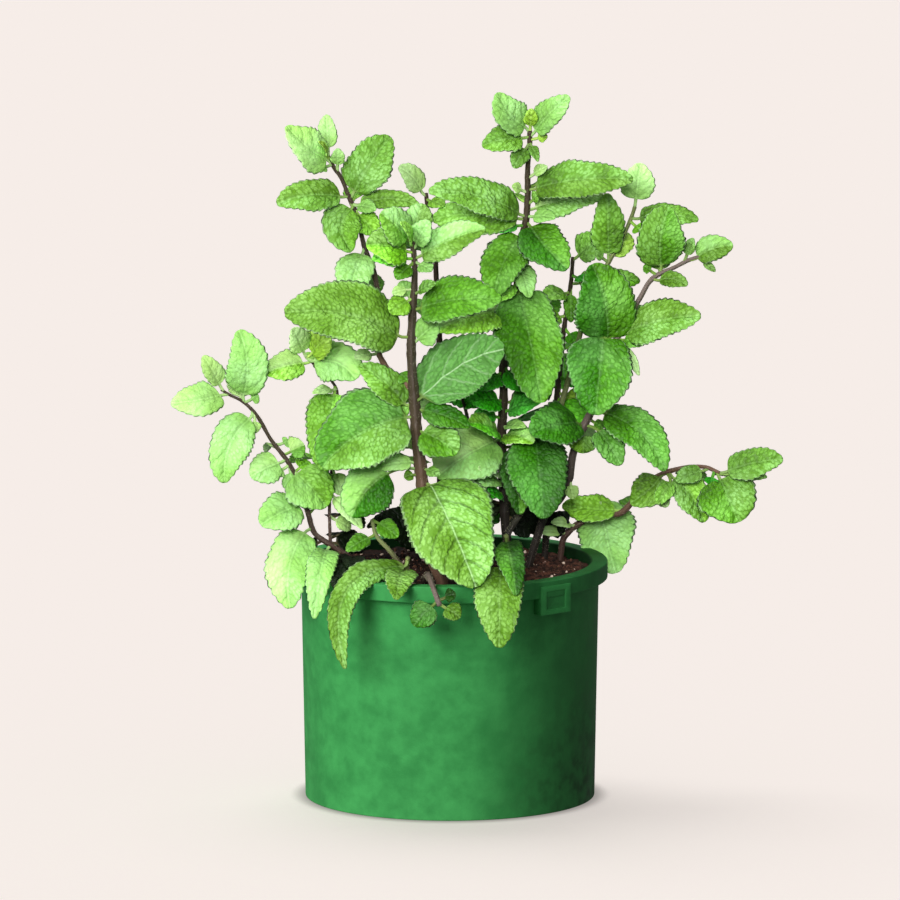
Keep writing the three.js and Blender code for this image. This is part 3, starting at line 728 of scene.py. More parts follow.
def unit(vectors):
    """Vectors of length one, the same way as the given ones."""
    return vectors / np.linalg.norm(vectors, axis=-1, keepdims=True)


def square_to(vectors, ways):
    """Vectors made square to the given ways, at length one."""
    return unit(vectors - (vectors * ways).sum(-1, keepdims=True) * ways)


def turned(x, y, turn):
    """Places across and back, turned to the left about the upright axis."""
    return x * math.cos(turn) - y * math.sin(turn), x * math.sin(turn) + y * math.cos(turn)


def smooth_step(values, low, high):
    """A smooth rise from 0 at low to 1 at high."""
    share = np.clip((values - low) / (high - low), 0, 1)
    return share * share * (3 - 2 * share)


def lumps(x, y, size, seed):
    """Smooth random heights from -1 to 1, about a size apart: random corner values of a grid, blended."""
    corners = np.random.default_rng(seed).uniform(-1, 1, (LUMP_GRID, LUMP_GRID))
    column, row = np.floor(x / size).astype(int), np.floor(y / size).astype(int)
    u, v = smooth_step(x / size - column, 0, 1), smooth_step(y / size - row, 0, 1)
    left, right = column % LUMP_GRID, (column + 1) % LUMP_GRID
    near, far = row % LUMP_GRID, (row + 1) % LUMP_GRID
    on_near = corners[left, near] * (1 - u) + corners[right, near] * u
    on_far = corners[left, far] * (1 - u) + corners[right, far] * u
    return on_near * (1 - v) + on_far * v


def length_along(line):
    """How far along a line each of its points lies."""
    return np.concatenate([[0], np.cumsum(np.linalg.norm(np.diff(line, axis=0), axis=1))])


def bent(first, corner, last, t):
    """Points at the shares t of a parabola from first to last that is drawn towards a corner."""
    return first * (1 - t) ** 2 + 2 * corner * t * (1 - t) + last * t**2


def smooth_line(points, step):
    """Points a step apart along the centripetal Catmull-Rom line through the given ones."""
    points = np.asarray(points, float)
    held = np.vstack([2 * points[0] - points[1], points, 2 * points[-1] - points[-2]])
    before, start, end, after = held[:-3, None], held[1:-2, None], held[2:-1, None], held[3:, None]
    spans = np.sqrt(np.linalg.norm(np.diff(held, axis=0), axis=1))[:, None, None]
    first, span, last = spans[:-2], spans[1:-1], spans[2:]
    leaving = (start - before) / first - (end - before) / (first + span) + (end - start) / span
    coming = (end - start) / span - (after - start) / (span + last) + (after - end) / last
    t = np.linspace(0, 1, LINE_STEPS, endpoint=False)[None, :, None]
    line = (
        start * (2 * t**3 - 3 * t**2 + 1)
        + end * (3 * t**2 - 2 * t**3)
        + leaving * span * (t**3 - 2 * t**2 + t)
        + coming * span * (t**3 - t**2)
    ).reshape(-1, 3)
    line = np.vstack([line, points[-1]])
    ways = length_along(line)
    even = np.linspace(0, ways[-1], max(4, round(ways[-1] / step)) + 1)
    return np.stack([np.interp(even, ways, line[:, i]) for i in range(3)], axis=1)


def ring_faces(rows, around):
    """Faces between the neighbours in a stack of rings, whose points are numbered ring by ring."""
    here = np.arange(rows * around).reshape(rows, around)
    beside = np.roll(here, -1, axis=1)
    return np.stack([here[:-1], beside[:-1], beside[1:], here[1:]], axis=-1).reshape(-1, 4)


def fan_faces(ring, middle):
    """Faces from the sides of a ring to a middle point."""
    middles = np.full(len(ring), middle)
    return np.stack([ring, np.roll(ring, -1), middles, middles], axis=-1)


def flipped(faces):
    """Faces that look the other way; a triangle keeps its doubled corner last."""
    three = (faces[:, 2] == faces[:, 3])[:, None]
    return np.where(three, faces[:, [1, 0, 2, 3]], faces[:, ::-1])


class Body:
    """A mesh in the making, in millimetres, with the values at its points that its material reads."""

    def __init__(self, name):
        self.name = name
        self.points = []
        self.faces = []
        self.values = {}
        self.count = 0

    def add(self, points, faces, **values):
        """Adds points (n, 3) and faces of four corners; a triangle repeats its third corner."""
        self.points.append(points)
        self.faces.append(faces + self.count)
        for key, value in values.items():
            self.values.setdefault(key, []).append(value)
        self.count += len(points)

    def add_rings(self, rings, **values):
        """Adds a closed body of rings (rows, around, 3) that turn right-handed about the way they go.

        Each end is closed by a fan of faces round a middle point. A value is given at each ring point.
        """
        rows, around = rings.shape[:2]
        ends = [[0], [rows - 1]]
        points = np.vstack([rings.reshape(-1, 3), *(rings[end].mean(1) for end in ends)])
        last = (rows - 1) * around
        low = flipped(fan_faces(np.arange(around), last + around))
        high = fan_faces(np.arange(around) + last, last + around + 1)
        full = {}
        for key, value in values.items():
            flat = value.reshape(rows * around, -1)
            full[key] = np.vstack([flat, *(value[end].mean(1) for end in ends)])
        self.add(points, np.vstack([ring_faces(rows, around), low, high]), **full)

    def shown(self, material):
        """The mesh as an object in the scene, shaded smooth."""
        mesh = bpy.data.meshes.new(self.name)
        points = np.vstack(self.points) * MM
        faces = np.vstack(self.faces)
        three = faces[:, 2] == faces[:, 3]
        corners = np.concatenate([faces[~three].ravel(), faces[three, :3].ravel()])
        quads = np.arange((~three).sum()) * 4
        starts = np.concatenate([quads, len(quads) * 4 + np.arange(three.sum()) * 3])
        mesh.vertices.add(len(points))
        mesh.vertices.foreach_set("co", points.astype(np.float32).ravel())
        mesh.loops.add(len(corners))
        mesh.loops.foreach_set("vertex_index", corners.astype(np.int32))
        mesh.polygons.add(len(starts))
        mesh.polygons.foreach_set("loop_start", starts.astype(np.int32))
        mesh.update(calc_edges=True)
        mesh.shade_smooth()
        for key, value in self.values.items():
            value = np.vstack(value).astype(np.float32)
            kind, field_name = ("FLOAT_COLOR", "color") if value.shape[1] == 4 else ("FLOAT_VECTOR", "vector")
            mesh.attributes.new(key, kind, "POINT").data.foreach_set(field_name, value.ravel())
        mesh.materials.append(material)
        shown = bpy.data.objects.new(self.name, mesh)
        bpy.context.scene.collection.objects.link(shown)
        return shown

    def make(self, material, slot, *nodes):
        """The finished piece: it rides on the plant's one body and stands for the given nodes."""
        piece = self.shown(material)
        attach(piece, "root")
        if nodes:
            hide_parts(*nodes)
        return piece


def plain_colour(tone):
    """A colour that looks like the given screen values, as the linear values that Blender works in."""
    screen = np.array(tone) / 255
    linear = np.where(screen <= 0.04045, screen / 12.92, ((screen + 0.055) / 1.055) ** 2.4)
    return (*(float(value) for value in linear), 1.0)


def paint(name):
    """One of the surfaces' named colours."""
    return plain_colour(PAINTS[name])


class Wire:
    """A value in a material's nodes that plain arithmetic works on."""

    def __init__(self, look, socket):
        self.look = look
        self.socket = socket

    def __add__(self, other):
        return self.look.maths("ADD", self, other)

    def __radd__(self, other):
        return self.look.maths("ADD", other, self)

    def __sub__(self, other):
        return self.look.maths("SUBTRACT", self, other)

    def __rsub__(self, other):
        return self.look.maths("SUBTRACT", other, self)

    def __mul__(self, other):
        return self.look.maths("MULTIPLY", self, other)

    def __rmul__(self, other):
        return self.look.maths("MULTIPLY", other, self)


class Look:
    """A material in the making, on Blender's Principled shader."""

    def __init__(self, name):
        self.material = bpy.data.materials.new(name)
        self.material.use_nodes = True
        self.tree = self.material.node_tree
        self.shader = self.tree.nodes["Principled BSDF"]

    def node(self, kind, settings, inputs, output=0):
        """A new node's output: its settings are made first, then each input is set or linked."""
        node = self.tree.nodes.new("ShaderNode" + kind)
        for key, value in settings.items():
            setattr(node, key, value)
        for key, value in inputs.items():
            self.feed(node.inputs[key], value)
        return Wire(self, node.outputs[output])

    def feed(self, socket, value):
        """Links a wire to a socket, or sets a plain value, of which a vector takes three parts."""
        if isinstance(value, Wire):
            self.tree.links.new(value.socket, socket)
        elif socket.type == "VECTOR":
            socket.default_value = value[:3]
        else:
            socket.default_value = value

    def set(self, **inputs):
        """Sets or links the shader's own sockets; a name's underscores stand for spaces."""
        for key, value in inputs.items():
            self.feed(self.shader.inputs[key.replace("_", " ")], value)

    def maths(self, operation, *values):
        """Any of Blender's sums on one or two values."""
        return self.node("Math", {"operation": operation}, dict(enumerate(values)))

    def spread(self, wire):
        """The three parts of a vector."""
        node = self.tree.nodes.new("ShaderNodeSeparateXYZ")
        self.feed(node.inputs[0], wire)
        return [Wire(self, socket) for socket in node.outputs]

    def joined(self, x, y, z):
        """A vector of three parts."""
        return self.node("CombineXYZ", {}, {0: x, 1: y, 2: z})

    def given(self, name, output="Vector"):
        """A value that the mesh holds at its points."""
        return self.node("Attribute", {"attribute_name": name}, {}, output)

    def place(self):
        """The place in the object, in metres."""
        return self.node("TexCoord", {}, {}, "Object")

    def radius(self, x, y):
        """How far a place lies from the upright axis."""
        return self.maths("SQRT", x * x + y * y)

    def step(self, wire, low, high, bottom=0.0, top=1.0):
        """A smooth rise from bottom at low to top at high."""
        settings = {"interpolation_type": "SMOOTHSTEP"}
        return self.node("MapRange", settings, {0: wire, 1: low, 2: high, 3: bottom, 4: top})

    def noise(self, place, size, detail=2.0, roughness=0.5):
        """Smooth random values from 0 to 1, with lumps of about a size in the place's own unit."""
        inputs = {"Vector": place, "Scale": 1 / size, "Detail": detail, "Roughness": roughness}
        return self.node("TexNoise", {}, inputs)

    def cells(self, place, size):
        """How far a place is from the middle of its random cell, in cell sizes."""
        return self.node("TexVoronoi", {}, {"Vector": place, "Scale": 1 / size}, "Distance")

    def blend(self, factor, first, second, way="MIX"):
        """The first colour where the factor is 0 and the second where it is 1."""
        settings = {"data_type": "RGBA", "blend_type": way, "clamp_factor": True}
        return self.node("Mix", settings, {0: factor, 6: first, 7: second}, 2)

    def shaded(self, colour, factor):
        """A colour made darker or lighter by a factor."""
        return self.node("VectorMath", {"operation": "SCALE"}, {0: colour, "Scale": factor})

    def bump(self, height, depth):
        """A bump whose height from 0 to 1 stands for a depth in millimetres."""
        return self.node("Bump", {}, {"Height": height, "Strength": 1.0, "Distance": depth * MM})


def leaf_patterns(look):
    """What a leaf's colours and bumps are made of: places on it, veins, the pads between them, and noise."""
    across, phase, seed = look.spread(look.given("vein_way", "Color"))
    veins = look.given("vein_way", "Alpha")
    along, margin, under = look.spread(look.given("leaf_way"))
    reach = look.maths("ABSOLUTE", across)
    place = look.joined(along, across, seed)
    wander = look.noise(place, LEAF_WANDER, 1.0) - 0.5
    bend = phase + 0.25 * wander
    off_vein = look.maths("ABSOLUTE", bend - look.maths("ROUND", bend))
    midrib = 1 - look.step(reach, 0.15, 0.6)
    ribs = look.joined(along - 0.3 * reach + wander, across - wander, seed)
    return SimpleNamespace(
        along=along,
        margin=margin,
        under=under,
        veins=veins,
        grain=look.noise(place, LEAF_GRAIN),
        cloud=look.noise(place, LEAF_CLOUD, 1.0),
        side_vein=(1 - look.step(off_vein, 0.0, 0.12)) * look.step(margin, 1.0, 0.7) * veins,
        midrib=midrib,
        beside_midrib=(1 - look.step(reach, 0.6, 2.0)) * (1 - midrib),
        pad=1 - look.step(look.cells(ribs, LEAF_PAD), 0.3, 0.78),
    )


def leaf_upper(look, leaf, tone, young, pale):
    """The upper side's colour: painted shade in its hollows and along its veins, painted light on its pads, a
    faint painted sheen, darker and yellower at its foot, pale along the midrib and the margin.
    """
    # Painted light and shade of the relief: lighter on the pads, with random tone from the grain and the cloud
    relief = 0.32 * (leaf.pad - 0.65) + 0.14 * (leaf.grain - 0.5) + 1.5 * (leaf.cloud - 0.5)
    light = 1 + (1 - 0.65 * young) * relief
    # Painted shade along the side veins and beside the midrib
    light = light * (1 - 0.4 * leaf.side_vein * leaf.veins) * (1 - 0.2 * leaf.beside_midrib)
    light = light * look.step(leaf.along, 0.0, 24.0, 0.72, 1.08)
    yellow = look.maths("MAXIMUM", look.step(leaf.cloud, 0.6, 0.35), look.step(leaf.along, 11, 2))
    # Painted shade in the hollows, deeper and yellower
    hollow_shade = (0.8 - 0.65 * leaf.pad) * (1 - 0.8 * young)
    lushness = look.maths("MAXIMUM", hollow_shade, 0.7 * yellow * (1 - 0.4 * young))
    lush = look.blend(1.0, tone, paint("leaf lush"), "MULTIPLY")
    upper = look.shaded(look.blend(lushness, tone, lush), light)
    sheen = (0.6 + 0.4 * leaf.pad) * look.step(leaf.cloud, 0.45, 0.65) * 0.14
    upper = look.blend(sheen, upper, pale)
    upper = look.blend(leaf.midrib * leaf.veins * leaf.veins * 0.45, upper, pale)
    return look.blend(look.step(leaf.margin, 0.9, 0.98) * 0.5, upper, pale)


def leaf_lower(look, leaf, tone, pale):
    """The lower side's colour: dull and even, with pale veins."""
    lower = look.blend(0.2, tone, paint("leaf dull"))
    # Painted light of the relief: lighter on the pads, with random tone from the grain
    lower = look.shaded(lower, 0.65 + 0.3 * leaf.grain + 0.3 * leaf.pad)
    return look.blend(look.maths("MAXIMUM", leaf.midrib, leaf.side_vein * 0.5) * 0.8, lower, pale)


def leaf_material():
    """A mint leaf: puckered between its veins, pale along the midrib and the margin, dull below."""
    look = Look("leaf")
    tone = look.given("tone", "Color")
    leaf = leaf_patterns(look)
    green, blue = look.spread(tone)[1:]
    young = look.step(blue, 0.12, 0.3)
    pale = look.blend(look.step(green, 0.0, 0.3, 0.0, 0.6), tone, paint("leaf pale"))
    upper = leaf_upper(look, leaf, tone, young, pale)
    blade = look.blend(leaf.under, upper, leaf_lower(look, leaf, tone, pale))
    stalk = look.blend(0.45, tone, paint("leaf stalk"))
    raised = leaf.pad * 0.7 + leaf.grain * 0.3 - 0.8 * leaf.side_vein * (1 - leaf.under)
    look.set(
        Base_Color=look.blend(look.given("tone", "Alpha"), stalk, blade),
        Roughness=look.step(leaf.grain, 0.2, 0.8, 0.4, 0.6),
        Normal=look.bump(raised * (1 - 0.5 * young), LEAF_BUMP),
        Specular_IOR_Level=0.22,
    )
    return look.material


def stem_material():
    """A square stem: streaked along its length, with fine pale flecks."""
    look = Look("stem")
    tone = look.given("tone", "Color")
    along, around, share = look.spread(look.given("stem_way"))
    streak = look.noise(look.joined(along * 0.12, around * 9, share), STEM_STREAK, 3.0)
    fleck = 1 - look.step(look.cells(look.joined(along, around * 8, share), STEM_FLECK), 0.08, 0.25)
    colour = look.shaded(tone, 0.7 + 0.65 * streak)
    look.set(
        Base_Color=look.blend(fleck * 0.25, colour, paint("stem fleck")),
        Roughness=look.step(streak, 0.2, 0.8, 0.4, 0.6),
        Normal=look.bump(streak, STEM_BUMP),
        Specular_IOR_Level=0.4,
    )
    return look.material


def pot_material():
    """Moulded plastic: cloudy, with painted shade to the right, in blotches low on the right and inside, and a
    painted highlight on the frame's face.
    """
    look = Look("pot")
    place = look.place()
    x, y, z = look.spread(place)
    cloud = look.noise(place, POT_CLOUD * MM, 3.0, 0.6)
    blotch = look.noise(place, POT_BLOTCH * MM)
    grain = look.noise(place, POT_GRAIN * MM)
    # Painted shade: from the middle out, the right side is darkened
    right = look.step(x, 0.0, 0.08)
    # Blotches of painted shade, low down on the right side
    shade_blotch = right * look.step(z, 0.1, 0.0) * look.step(blotch, 0.3, 0.7)
    # Painted shade on the inner wall and all of the pot as far in, darkest to the left
    inside = look.step(look.radius(x, y), INSIDE_SHADE_FROM * MM, INSIDE_SHADE_TO * MM)
    # A painted highlight on the raised frame's face
    outward = math.sin(LABEL_TURN) * x - math.cos(LABEL_TURN) * y
    face = look.step(outward, (LABEL_FACE - LABEL_HIGHLIGHT_FROM) * MM, (LABEL_FACE - LABEL_HIGHLIGHT_TO) * MM)
    mottle = look.step(0.6 * cloud + 0.4 * blotch, 0.3, 0.7)
    green = look.blend(mottle, paint("pot dull"), paint("pot bright"))
    green = look.blend(right * 0.6, green, paint("pot painted shade"))
    green = look.blend(shade_blotch * 0.75, green, paint("pot shade blotch"))
    green = look.blend(inside, green, look.shaded(green, look.step(x, 0.0, 0.05, 0.1, 0.45)))
    green = look.shaded(green, 1 + 0.3 * face)
    look.set(
        Base_Color=look.shaded(green, 0.94 + 0.12 * grain),
        Roughness=look.step(cloud, 0.3, 0.7, 0.55, 0.68),
        Normal=look.bump(0.7 * grain + 0.3 * blotch, POT_BUMP),
        Specular_IOR_Level=0.2,
    )
    return look.material


def soil_material():
    """Damp potting soil: red-brown, with dark patches at random and pale specks, and painted shade that
    darkens it to the left.
    """
    look = Look("soil")
    place = look.place()
    coarse = look.noise(place, SOIL_COARSE * MM, 4.0, 0.65)
    fine = look.noise(place, SOIL_FINE * MM, 3.0, 0.6)
    speck = 1 - look.step(look.cells(place, SOIL_SPECK * MM), 0.07, 0.16)
    brown = look.blend(look.step(coarse, 0.35, 0.7), paint("soil dark"), paint("soil brown"))
    # Painted shade: the soil darkens to the left
    out_of_painted_shade = look.step(look.spread(place)[0], 0.015, 0.04)
    brown = look.shaded(brown, (0.7 + 0.6 * fine) * (0.25 + 0.75 * out_of_painted_shade))
    look.set(
        Base_Color=look.blend(speck * look.step(coarse, 0.45, 0.6), brown, paint("soil speck")),
        Roughness=look.step(fine, 0.2, 0.8, 0.8, 0.98),
        Normal=look.bump(fine, SOIL_BUMP),
        Specular_IOR_Level=0.2,
    )
    return look.material


def crumb_material():
    """Loose soil crumbs, each in its own brown."""
    look = Look("crumb")
    grain = look.noise(look.place(), CRUMB_GRAIN * MM, 3.0, 0.6)
    look.set(
        Base_Color=look.shaded(look.given("tone", "Color"), 0.6 + 0.8 * grain),
        Roughness=look.step(grain, 0.2, 0.8, 0.75, 0.95),
        Normal=look.bump(grain, CRUMB_BUMP),
        Specular_IOR_Level=0.2,
    )
    return look.material


def lathe(profile, sides):
    """Rings of a turned body: each profile point, a radius and a height, carried round the upright axis."""
    radius, height = np.asarray(profile, float).T
    angle = np.linspace(0, 2 * np.pi, sides, endpoint=False)
    x = radius[:, None] * np.cos(angle)
    y = radius[:, None] * np.sin(angle)
    return np.stack([x, y, np.broadcast_to(height[:, None], x.shape)], axis=-1)


def rounded(corners, radius):
    """A profile whose inner corners are rounded: each is swapped for a short bent curve."""
    corners = np.asarray(corners, float)
    profile = [corners[0]]
    for before, corner, after in zip(corners[:-2], corners[1:-1], corners[2:]):
        enter = corner + unit(before - corner) * radius
        leave = corner + unit(after - corner) * radius
        profile.extend(bent(enter, corner, leave, np.linspace(0, 1, EDGE_STEPS)[:, None]))
    profile.append(corners[-1])
    return np.array(profile)


def wall_profile():
    """The pot's outline from the edge of its foot, up outside, over the rim and down inside to its floor."""
    rim_foot = POT_HEIGHT - RIM_HEIGHT
    edge = DRAIN_CIRCLE + DRAIN_PATCH
    corners = [
        (edge, 0),
        (FOOT_RADIUS, 0),
        (BODY_TOP_RADIUS, rim_foot),
        (RIM_RADIUS, rim_foot),
        (RIM_RADIUS, POT_HEIGHT),
        (BODY_TOP_RADIUS - WALL, POT_HEIGHT),
        (FOOT_RADIUS - WALL, FLOOR),
        (edge, FLOOR),
    ]
    return rounded(corners, EDGE_ROUND)


def floor_patch():
    """The first hole's share of the floor's band, flat, as rings from its hole's edge out to its sides."""
    per_side = POT_SIDES // DRAIN_HOLES
    half_turn = math.pi / DRAIN_HOLES
    t = np.linspace(-1, 1, per_side, endpoint=False)
    s = np.linspace(-1, 1, PATCH_ROWS, endpoint=False)
    turn = np.concatenate([t, np.ones(PATCH_ROWS), -t, -np.ones(PATCH_ROWS)]) * half_turn
    out = np.concatenate([-np.ones(per_side), s, np.ones(per_side), -s])
    radius = DRAIN_CIRCLE + out * DRAIN_PATCH
    sides = np.stack([radius * np.cos(turn), radius * np.sin(turn)], axis=1)
    middle = np.array([DRAIN_CIRCLE, 0])
    hole = middle + unit(sides - middle) * DRAIN_RADIUS
    mix = np.linspace(0, 1, HOLE_RINGS)[:, None, None]
    return hole * (1 - mix) + sides * mix


def floor_patches():
    """Every hole's share of the floor: rings in to the hole's edge below, up through it and out above."""
    x, y = np.moveaxis(floor_patch(), -1, 0)
    levels = np.repeat([0, FLOOR], HOLE_RINGS)
    patches = []
    for turn in np.arange(DRAIN_HOLES) / DRAIN_HOLES * 2 * np.pi:
        outward = np.stack(turned(x, y, turn), axis=-1)
        rings = np.concatenate([outward[::-1], outward])
        height = np.broadcast_to(levels[:, None, None], (*rings.shape[:2], 1))
        patches.append(np.concatenate([rings, height], axis=-1))
    return patches


def add_floor_disc(pot, height, faces_up):
    """Adds the middle of the floor's upper or lower face."""
    inner = DRAIN_CIRCLE - DRAIN_PATCH
    rings = lathe([(inner, height), (inner / 2, height)], POT_SIDES)
    points = np.vstack([rings.reshape(-1, 3), [[0, 0, height]]])
    fan = fan_faces(np.arange(POT_SIDES) + POT_SIDES, 2 * POT_SIDES)
    faces = np.vstack([ring_faces(2, POT_SIDES), fan])
    pot.add(points, faces if faces_up else flipped(faces))


def make_pot(material):
    """The pot: its turned wall and rim, its floor with the holes, and the middle of the floor."""
    pot = Body("pot_moulded")
    for rings in (lathe(wall_profile(), POT_SIDES), *floor_patches()):
        pot.add(rings.reshape(-1, 3), ring_faces(*rings.shape[:2]))
    add_floor_disc(pot, 0, faces_up=False)
    add_floor_disc(pot, FLOOR, faces_up=True)
    piece = pot.make(material, "pot", "pot")
    weld(piece)
    return piece


def weld(piece):
    """Joins the points of a piece that share a place."""
    mesh = bmesh.new()
    mesh.from_mesh(piece.data)
    bmesh.ops.remove_doubles(mesh, verts=mesh.verts, dist=WELDED_WITHIN * MM)
    mesh.to_mesh(piece.data)
    mesh.free()


def box_ring(half_width, half_height):
    """A ring round a box, flat, with a quarter circle at each corner: it turns left as it goes."""
    angle = np.linspace(0, np.pi / 2, CORNER_STEPS)
    turns = angle[None, :] + np.arange(4)[:, None] * np.pi / 2
    wide, high = half_width - LABEL_CORNER, half_height - LABEL_CORNER
    x = LABEL_CORNER * np.cos(turns) + wide * np.array([1, -1, -1, 1])[:, None]
    y = LABEL_CORNER * np.sin(turns) + high * np.array([1, 1, -1, -1])[:, None]
    return np.stack([x, y], axis=-1).reshape(-1, 2)


def make_label(material):
    """The bare raised frame: box rings carried out to its face, over its border and into its recess."""
    half_width, half_height = LABEL_WIDTH / 2, LABEL_HEIGHT / 2
    inner_width, inner_height = half_width - LABEL_BORDER_SIDE, half_height - LABEL_BORDER_END
    recess = LABEL_FACE - LABEL_RECESS
    r = LABEL_ROUND
    half_round = r * 0.3
    steps = [
        (half_width, half_height, LABEL_FACE - LABEL_DEPTH),
        (half_width, half_height, LABEL_FACE - r),
        (half_width - half_round, half_height - half_round, LABEL_FACE - half_round),
        (half_width - r, half_height - r, LABEL_FACE),
        (inner_width + r, inner_height + r, LABEL_FACE),
        (inner_width + half_round, inner_height + half_round, LABEL_FACE - half_round),
        (inner_width, inner_height, LABEL_FACE - r),
        (inner_width, inner_height, recess + RECESS_RISE),
        (inner_width - RECESS_ROUND, inner_height - RECESS_ROUND, recess),
    ]
    rings = []
    for wide, high, out in steps:
        x, z = box_ring(wide, high).T
        rings.append(np.column_stack([x, np.full(len(x), -out), z + LABEL_MIDDLE]))
    x, y, z = np.moveaxis(np.array(rings), -1, 0)
    label = Body("label_frame")
    label.add_rings(np.stack([*turned(x, y, LABEL_TURN), z], axis=-1))
    return label.make(material, "pot")


def soil_height(x, y):
    """How high the soil's top lies: the part's own waves, a sum of sines, with lumps of two sizes."""
    waves = 0.5 * np.sin(x / 6.1 + 1.3) * np.cos(y / 5.3)
    waves = waves + 0.3 * np.sin(x / 3.7 + y / 4.3) + 0.2 * np.cos(x / 2.9 - y / 3.1)
    top = SOIL_LEVEL + CLOD_HEIGHT * waves
    for seed, (height, size) in enumerate(SOIL_LUMPS, 1):
        top = top + height * lumps(x, y, size, seed)
    return top


def make_soil(material):
    """The soil: a turned body that fills the pot, with its top raised by the lumps."""
    rise = (SOIL_LEVEL - SOIL_DIP) / (POT_HEIGHT - RIM_HEIGHT)
    outer = FOOT_RADIUS + (BODY_TOP_RADIUS - FOOT_RADIUS) * rise - WALL - SOIL_GAP
    low = FOOT_RADIUS - WALL - 2 * SOIL_GAP
    radii = np.linspace(outer, SOIL_MIDDLE, SOIL_RINGS)
    profile = [(SOIL_MIDDLE, FLOOR), (low, FLOOR), *((radius, SOIL_LEVEL) for radius in radii)]
    rings = lathe(profile, SOIL_SIDES)
    rings[2:, :, 2] = soil_height(rings[2:, :, 0], rings[2:, :, 1])
    soil = Body("soil_filling")
    soil.add_rings(rings)
    soil.make(material, "soil", "soil")


def make_crumbs(material):
    """Loose crumbs on the soil: small turned balls, each made uneven and squashed, some of them pale."""
    latitude = np.radians(CRUMB_LATITUDES)
    ball = lathe(np.column_stack([np.cos(latitude), np.sin(latitude)]), CRUMB_SIDES)
    grid = ball.shape[:2]
    draw = np.random.default_rng(CRUMB_SEED)
    radius = (BODY_TOP_RADIUS - WALL - CRUMB_MARGIN) * np.sqrt(draw.uniform(0, 1, CRUMBS))
    angle = draw.uniform(0, 2 * np.pi, CRUMBS)
    x, y = radius * np.cos(angle), radius * np.sin(angle)
    size = CRUMB_SMALLEST + CRUMB_SPREAD * draw.uniform(0, 1, CRUMBS) ** 3
    tones = np.array([plain_colour(tone) for tone in CRUMB_TONES])
    pick = draw.choice(len(tones), CRUMBS, p=CRUMB_SHARES)
    crumbs = Body("soil_crumbs")
    for i in range(CRUMBS):
        uneven = ball * draw.uniform(*CRUMB_UNEVEN_RANGE, (*grid, 1))
        lump = uneven * size[i] * draw.uniform(*CRUMB_SQUASH_RANGE, 3)
        middle = (x[i], y[i], soil_height(x[i], y[i]) + size[i] * CRUMB_STANDS)
        crumbs.add_rings(lump + middle, tone=np.broadcast_to(tones[pick[i]], (*grid, 4)).copy())
    crumbs.make(material, "soil")


def nearest_on(lines, foot):
    """Where a stem passes nearest to a leaf's foot, as seen from the front, and how far off that is."""
    points = np.vstack(lines)
    flat = np.stack([points[:, 0], points[:, 2] * VIEW_COS + points[:, 1] * VIEW_SIN], axis=1)
    gaps = np.linalg.norm(flat - foot, axis=1)
    return points[gaps.argmin()], gaps.min()


def leaf_ends(shape, lines):
    """Where a leaf's stalk starts in its stem, where its blade starts, and its tip."""
    start, gap = nearest_on(lines, shape.foot)
    tip = seen(shape.tip)
    whole = gap + math.dist(shape.tip[:2], shape.foot)
    back = start[1] + (shape.tip[2] - start[1]) * gap / whole
    base = seen((*shape.foot, back))
    if np.linalg.norm(base - start) < PETIOLE_LENGTH:
        base = start + PETIOLE_LENGTH * unit(tip - start)
    return start, base, tip


def toothed(share, teeth, width):
    """How much of the half width the teeth leave out: a sawtooth that rises slowly and falls at once."""
    climb = (share * teeth) % 1 / TOOTH_RISE
    depth = min(TOOTH_DEPTH, TOOTH_DEPTH_SHARE * width) * smooth_step(share, 0.03, 0.15)
    return depth * (1 - np.clip(climb, 0, 1))


def blade_half_width(share, teeth, width):
    """Half the blade's width: a sine of a power of the share of its length, less the teeth."""
    wide = TIPPED * width / 2 * np.sin(np.pi * share**BLADE_WIDEST) ** BLADE_ROUND
    wide = wide - toothed(share, teeth, width)
    return np.maximum(wide, PETIOLE_HALF_WIDTH * (1 - share) ** 2)


def blade_half_thick(share):
    """Half the blade's thickness, which thins out from the stalk's by a smooth step."""
    return BLADE_HALF_THICK + (PETIOLE_HALF_THICK - BLADE_HALF_THICK) * (1 - smooth_step(share, 0, 0.15))


def leaf_face(shape, ahead):
    """The way that a leaf's upper side looks, square to the way it goes."""
    face = square_to(np.array(shape.face, float), ahead)
    turn = math.radians(shape.turn)
    return face * math.cos(turn) + np.cross(ahead, face) * math.sin(turn)


def leaf_middle(start, base, chord, push, share):
    """A leaf's middle line and the ways it goes: a curved stalk, then the blade from its base on.

    The blade goes straight along its chord, pushed aside by a parabola of the share of its length.
    """
    blade = base + chord * share[:, None] + push * (4 * share * (1 - share))[:, None]
    blade_way = chord + push * (4 * (1 - 2 * share))[:, None]
    reach = np.linalg.norm(base - start)
    t = np.linspace(0, 1, max(3, round(reach / PETIOLE_STEP)), endpoint=False)[:, None]
    control = base - unit(blade_way[0]) * reach * 0.5
    stalk_way = (control - start) * (1 - t) + (base - control) * t
    middle = np.vstack([bent(start, control, base, t), blade])
    return middle, unit(np.vstack([stalk_way, blade_way]))


@dataclass
class Sheet:
    """A leaf's surface, laid flat: rows along it and columns across it from its left margin to its right.

    It holds the blade's length, the share of it that lies before each row, each column's place from -1 to 1,
    how far across every point lies, how many side veins lie before it, and the widest row's half width.
    """

    length: float
    share: np.ndarray
    edge: np.ndarray
    across: np.ndarray
    phase: np.ndarray
    widest: float


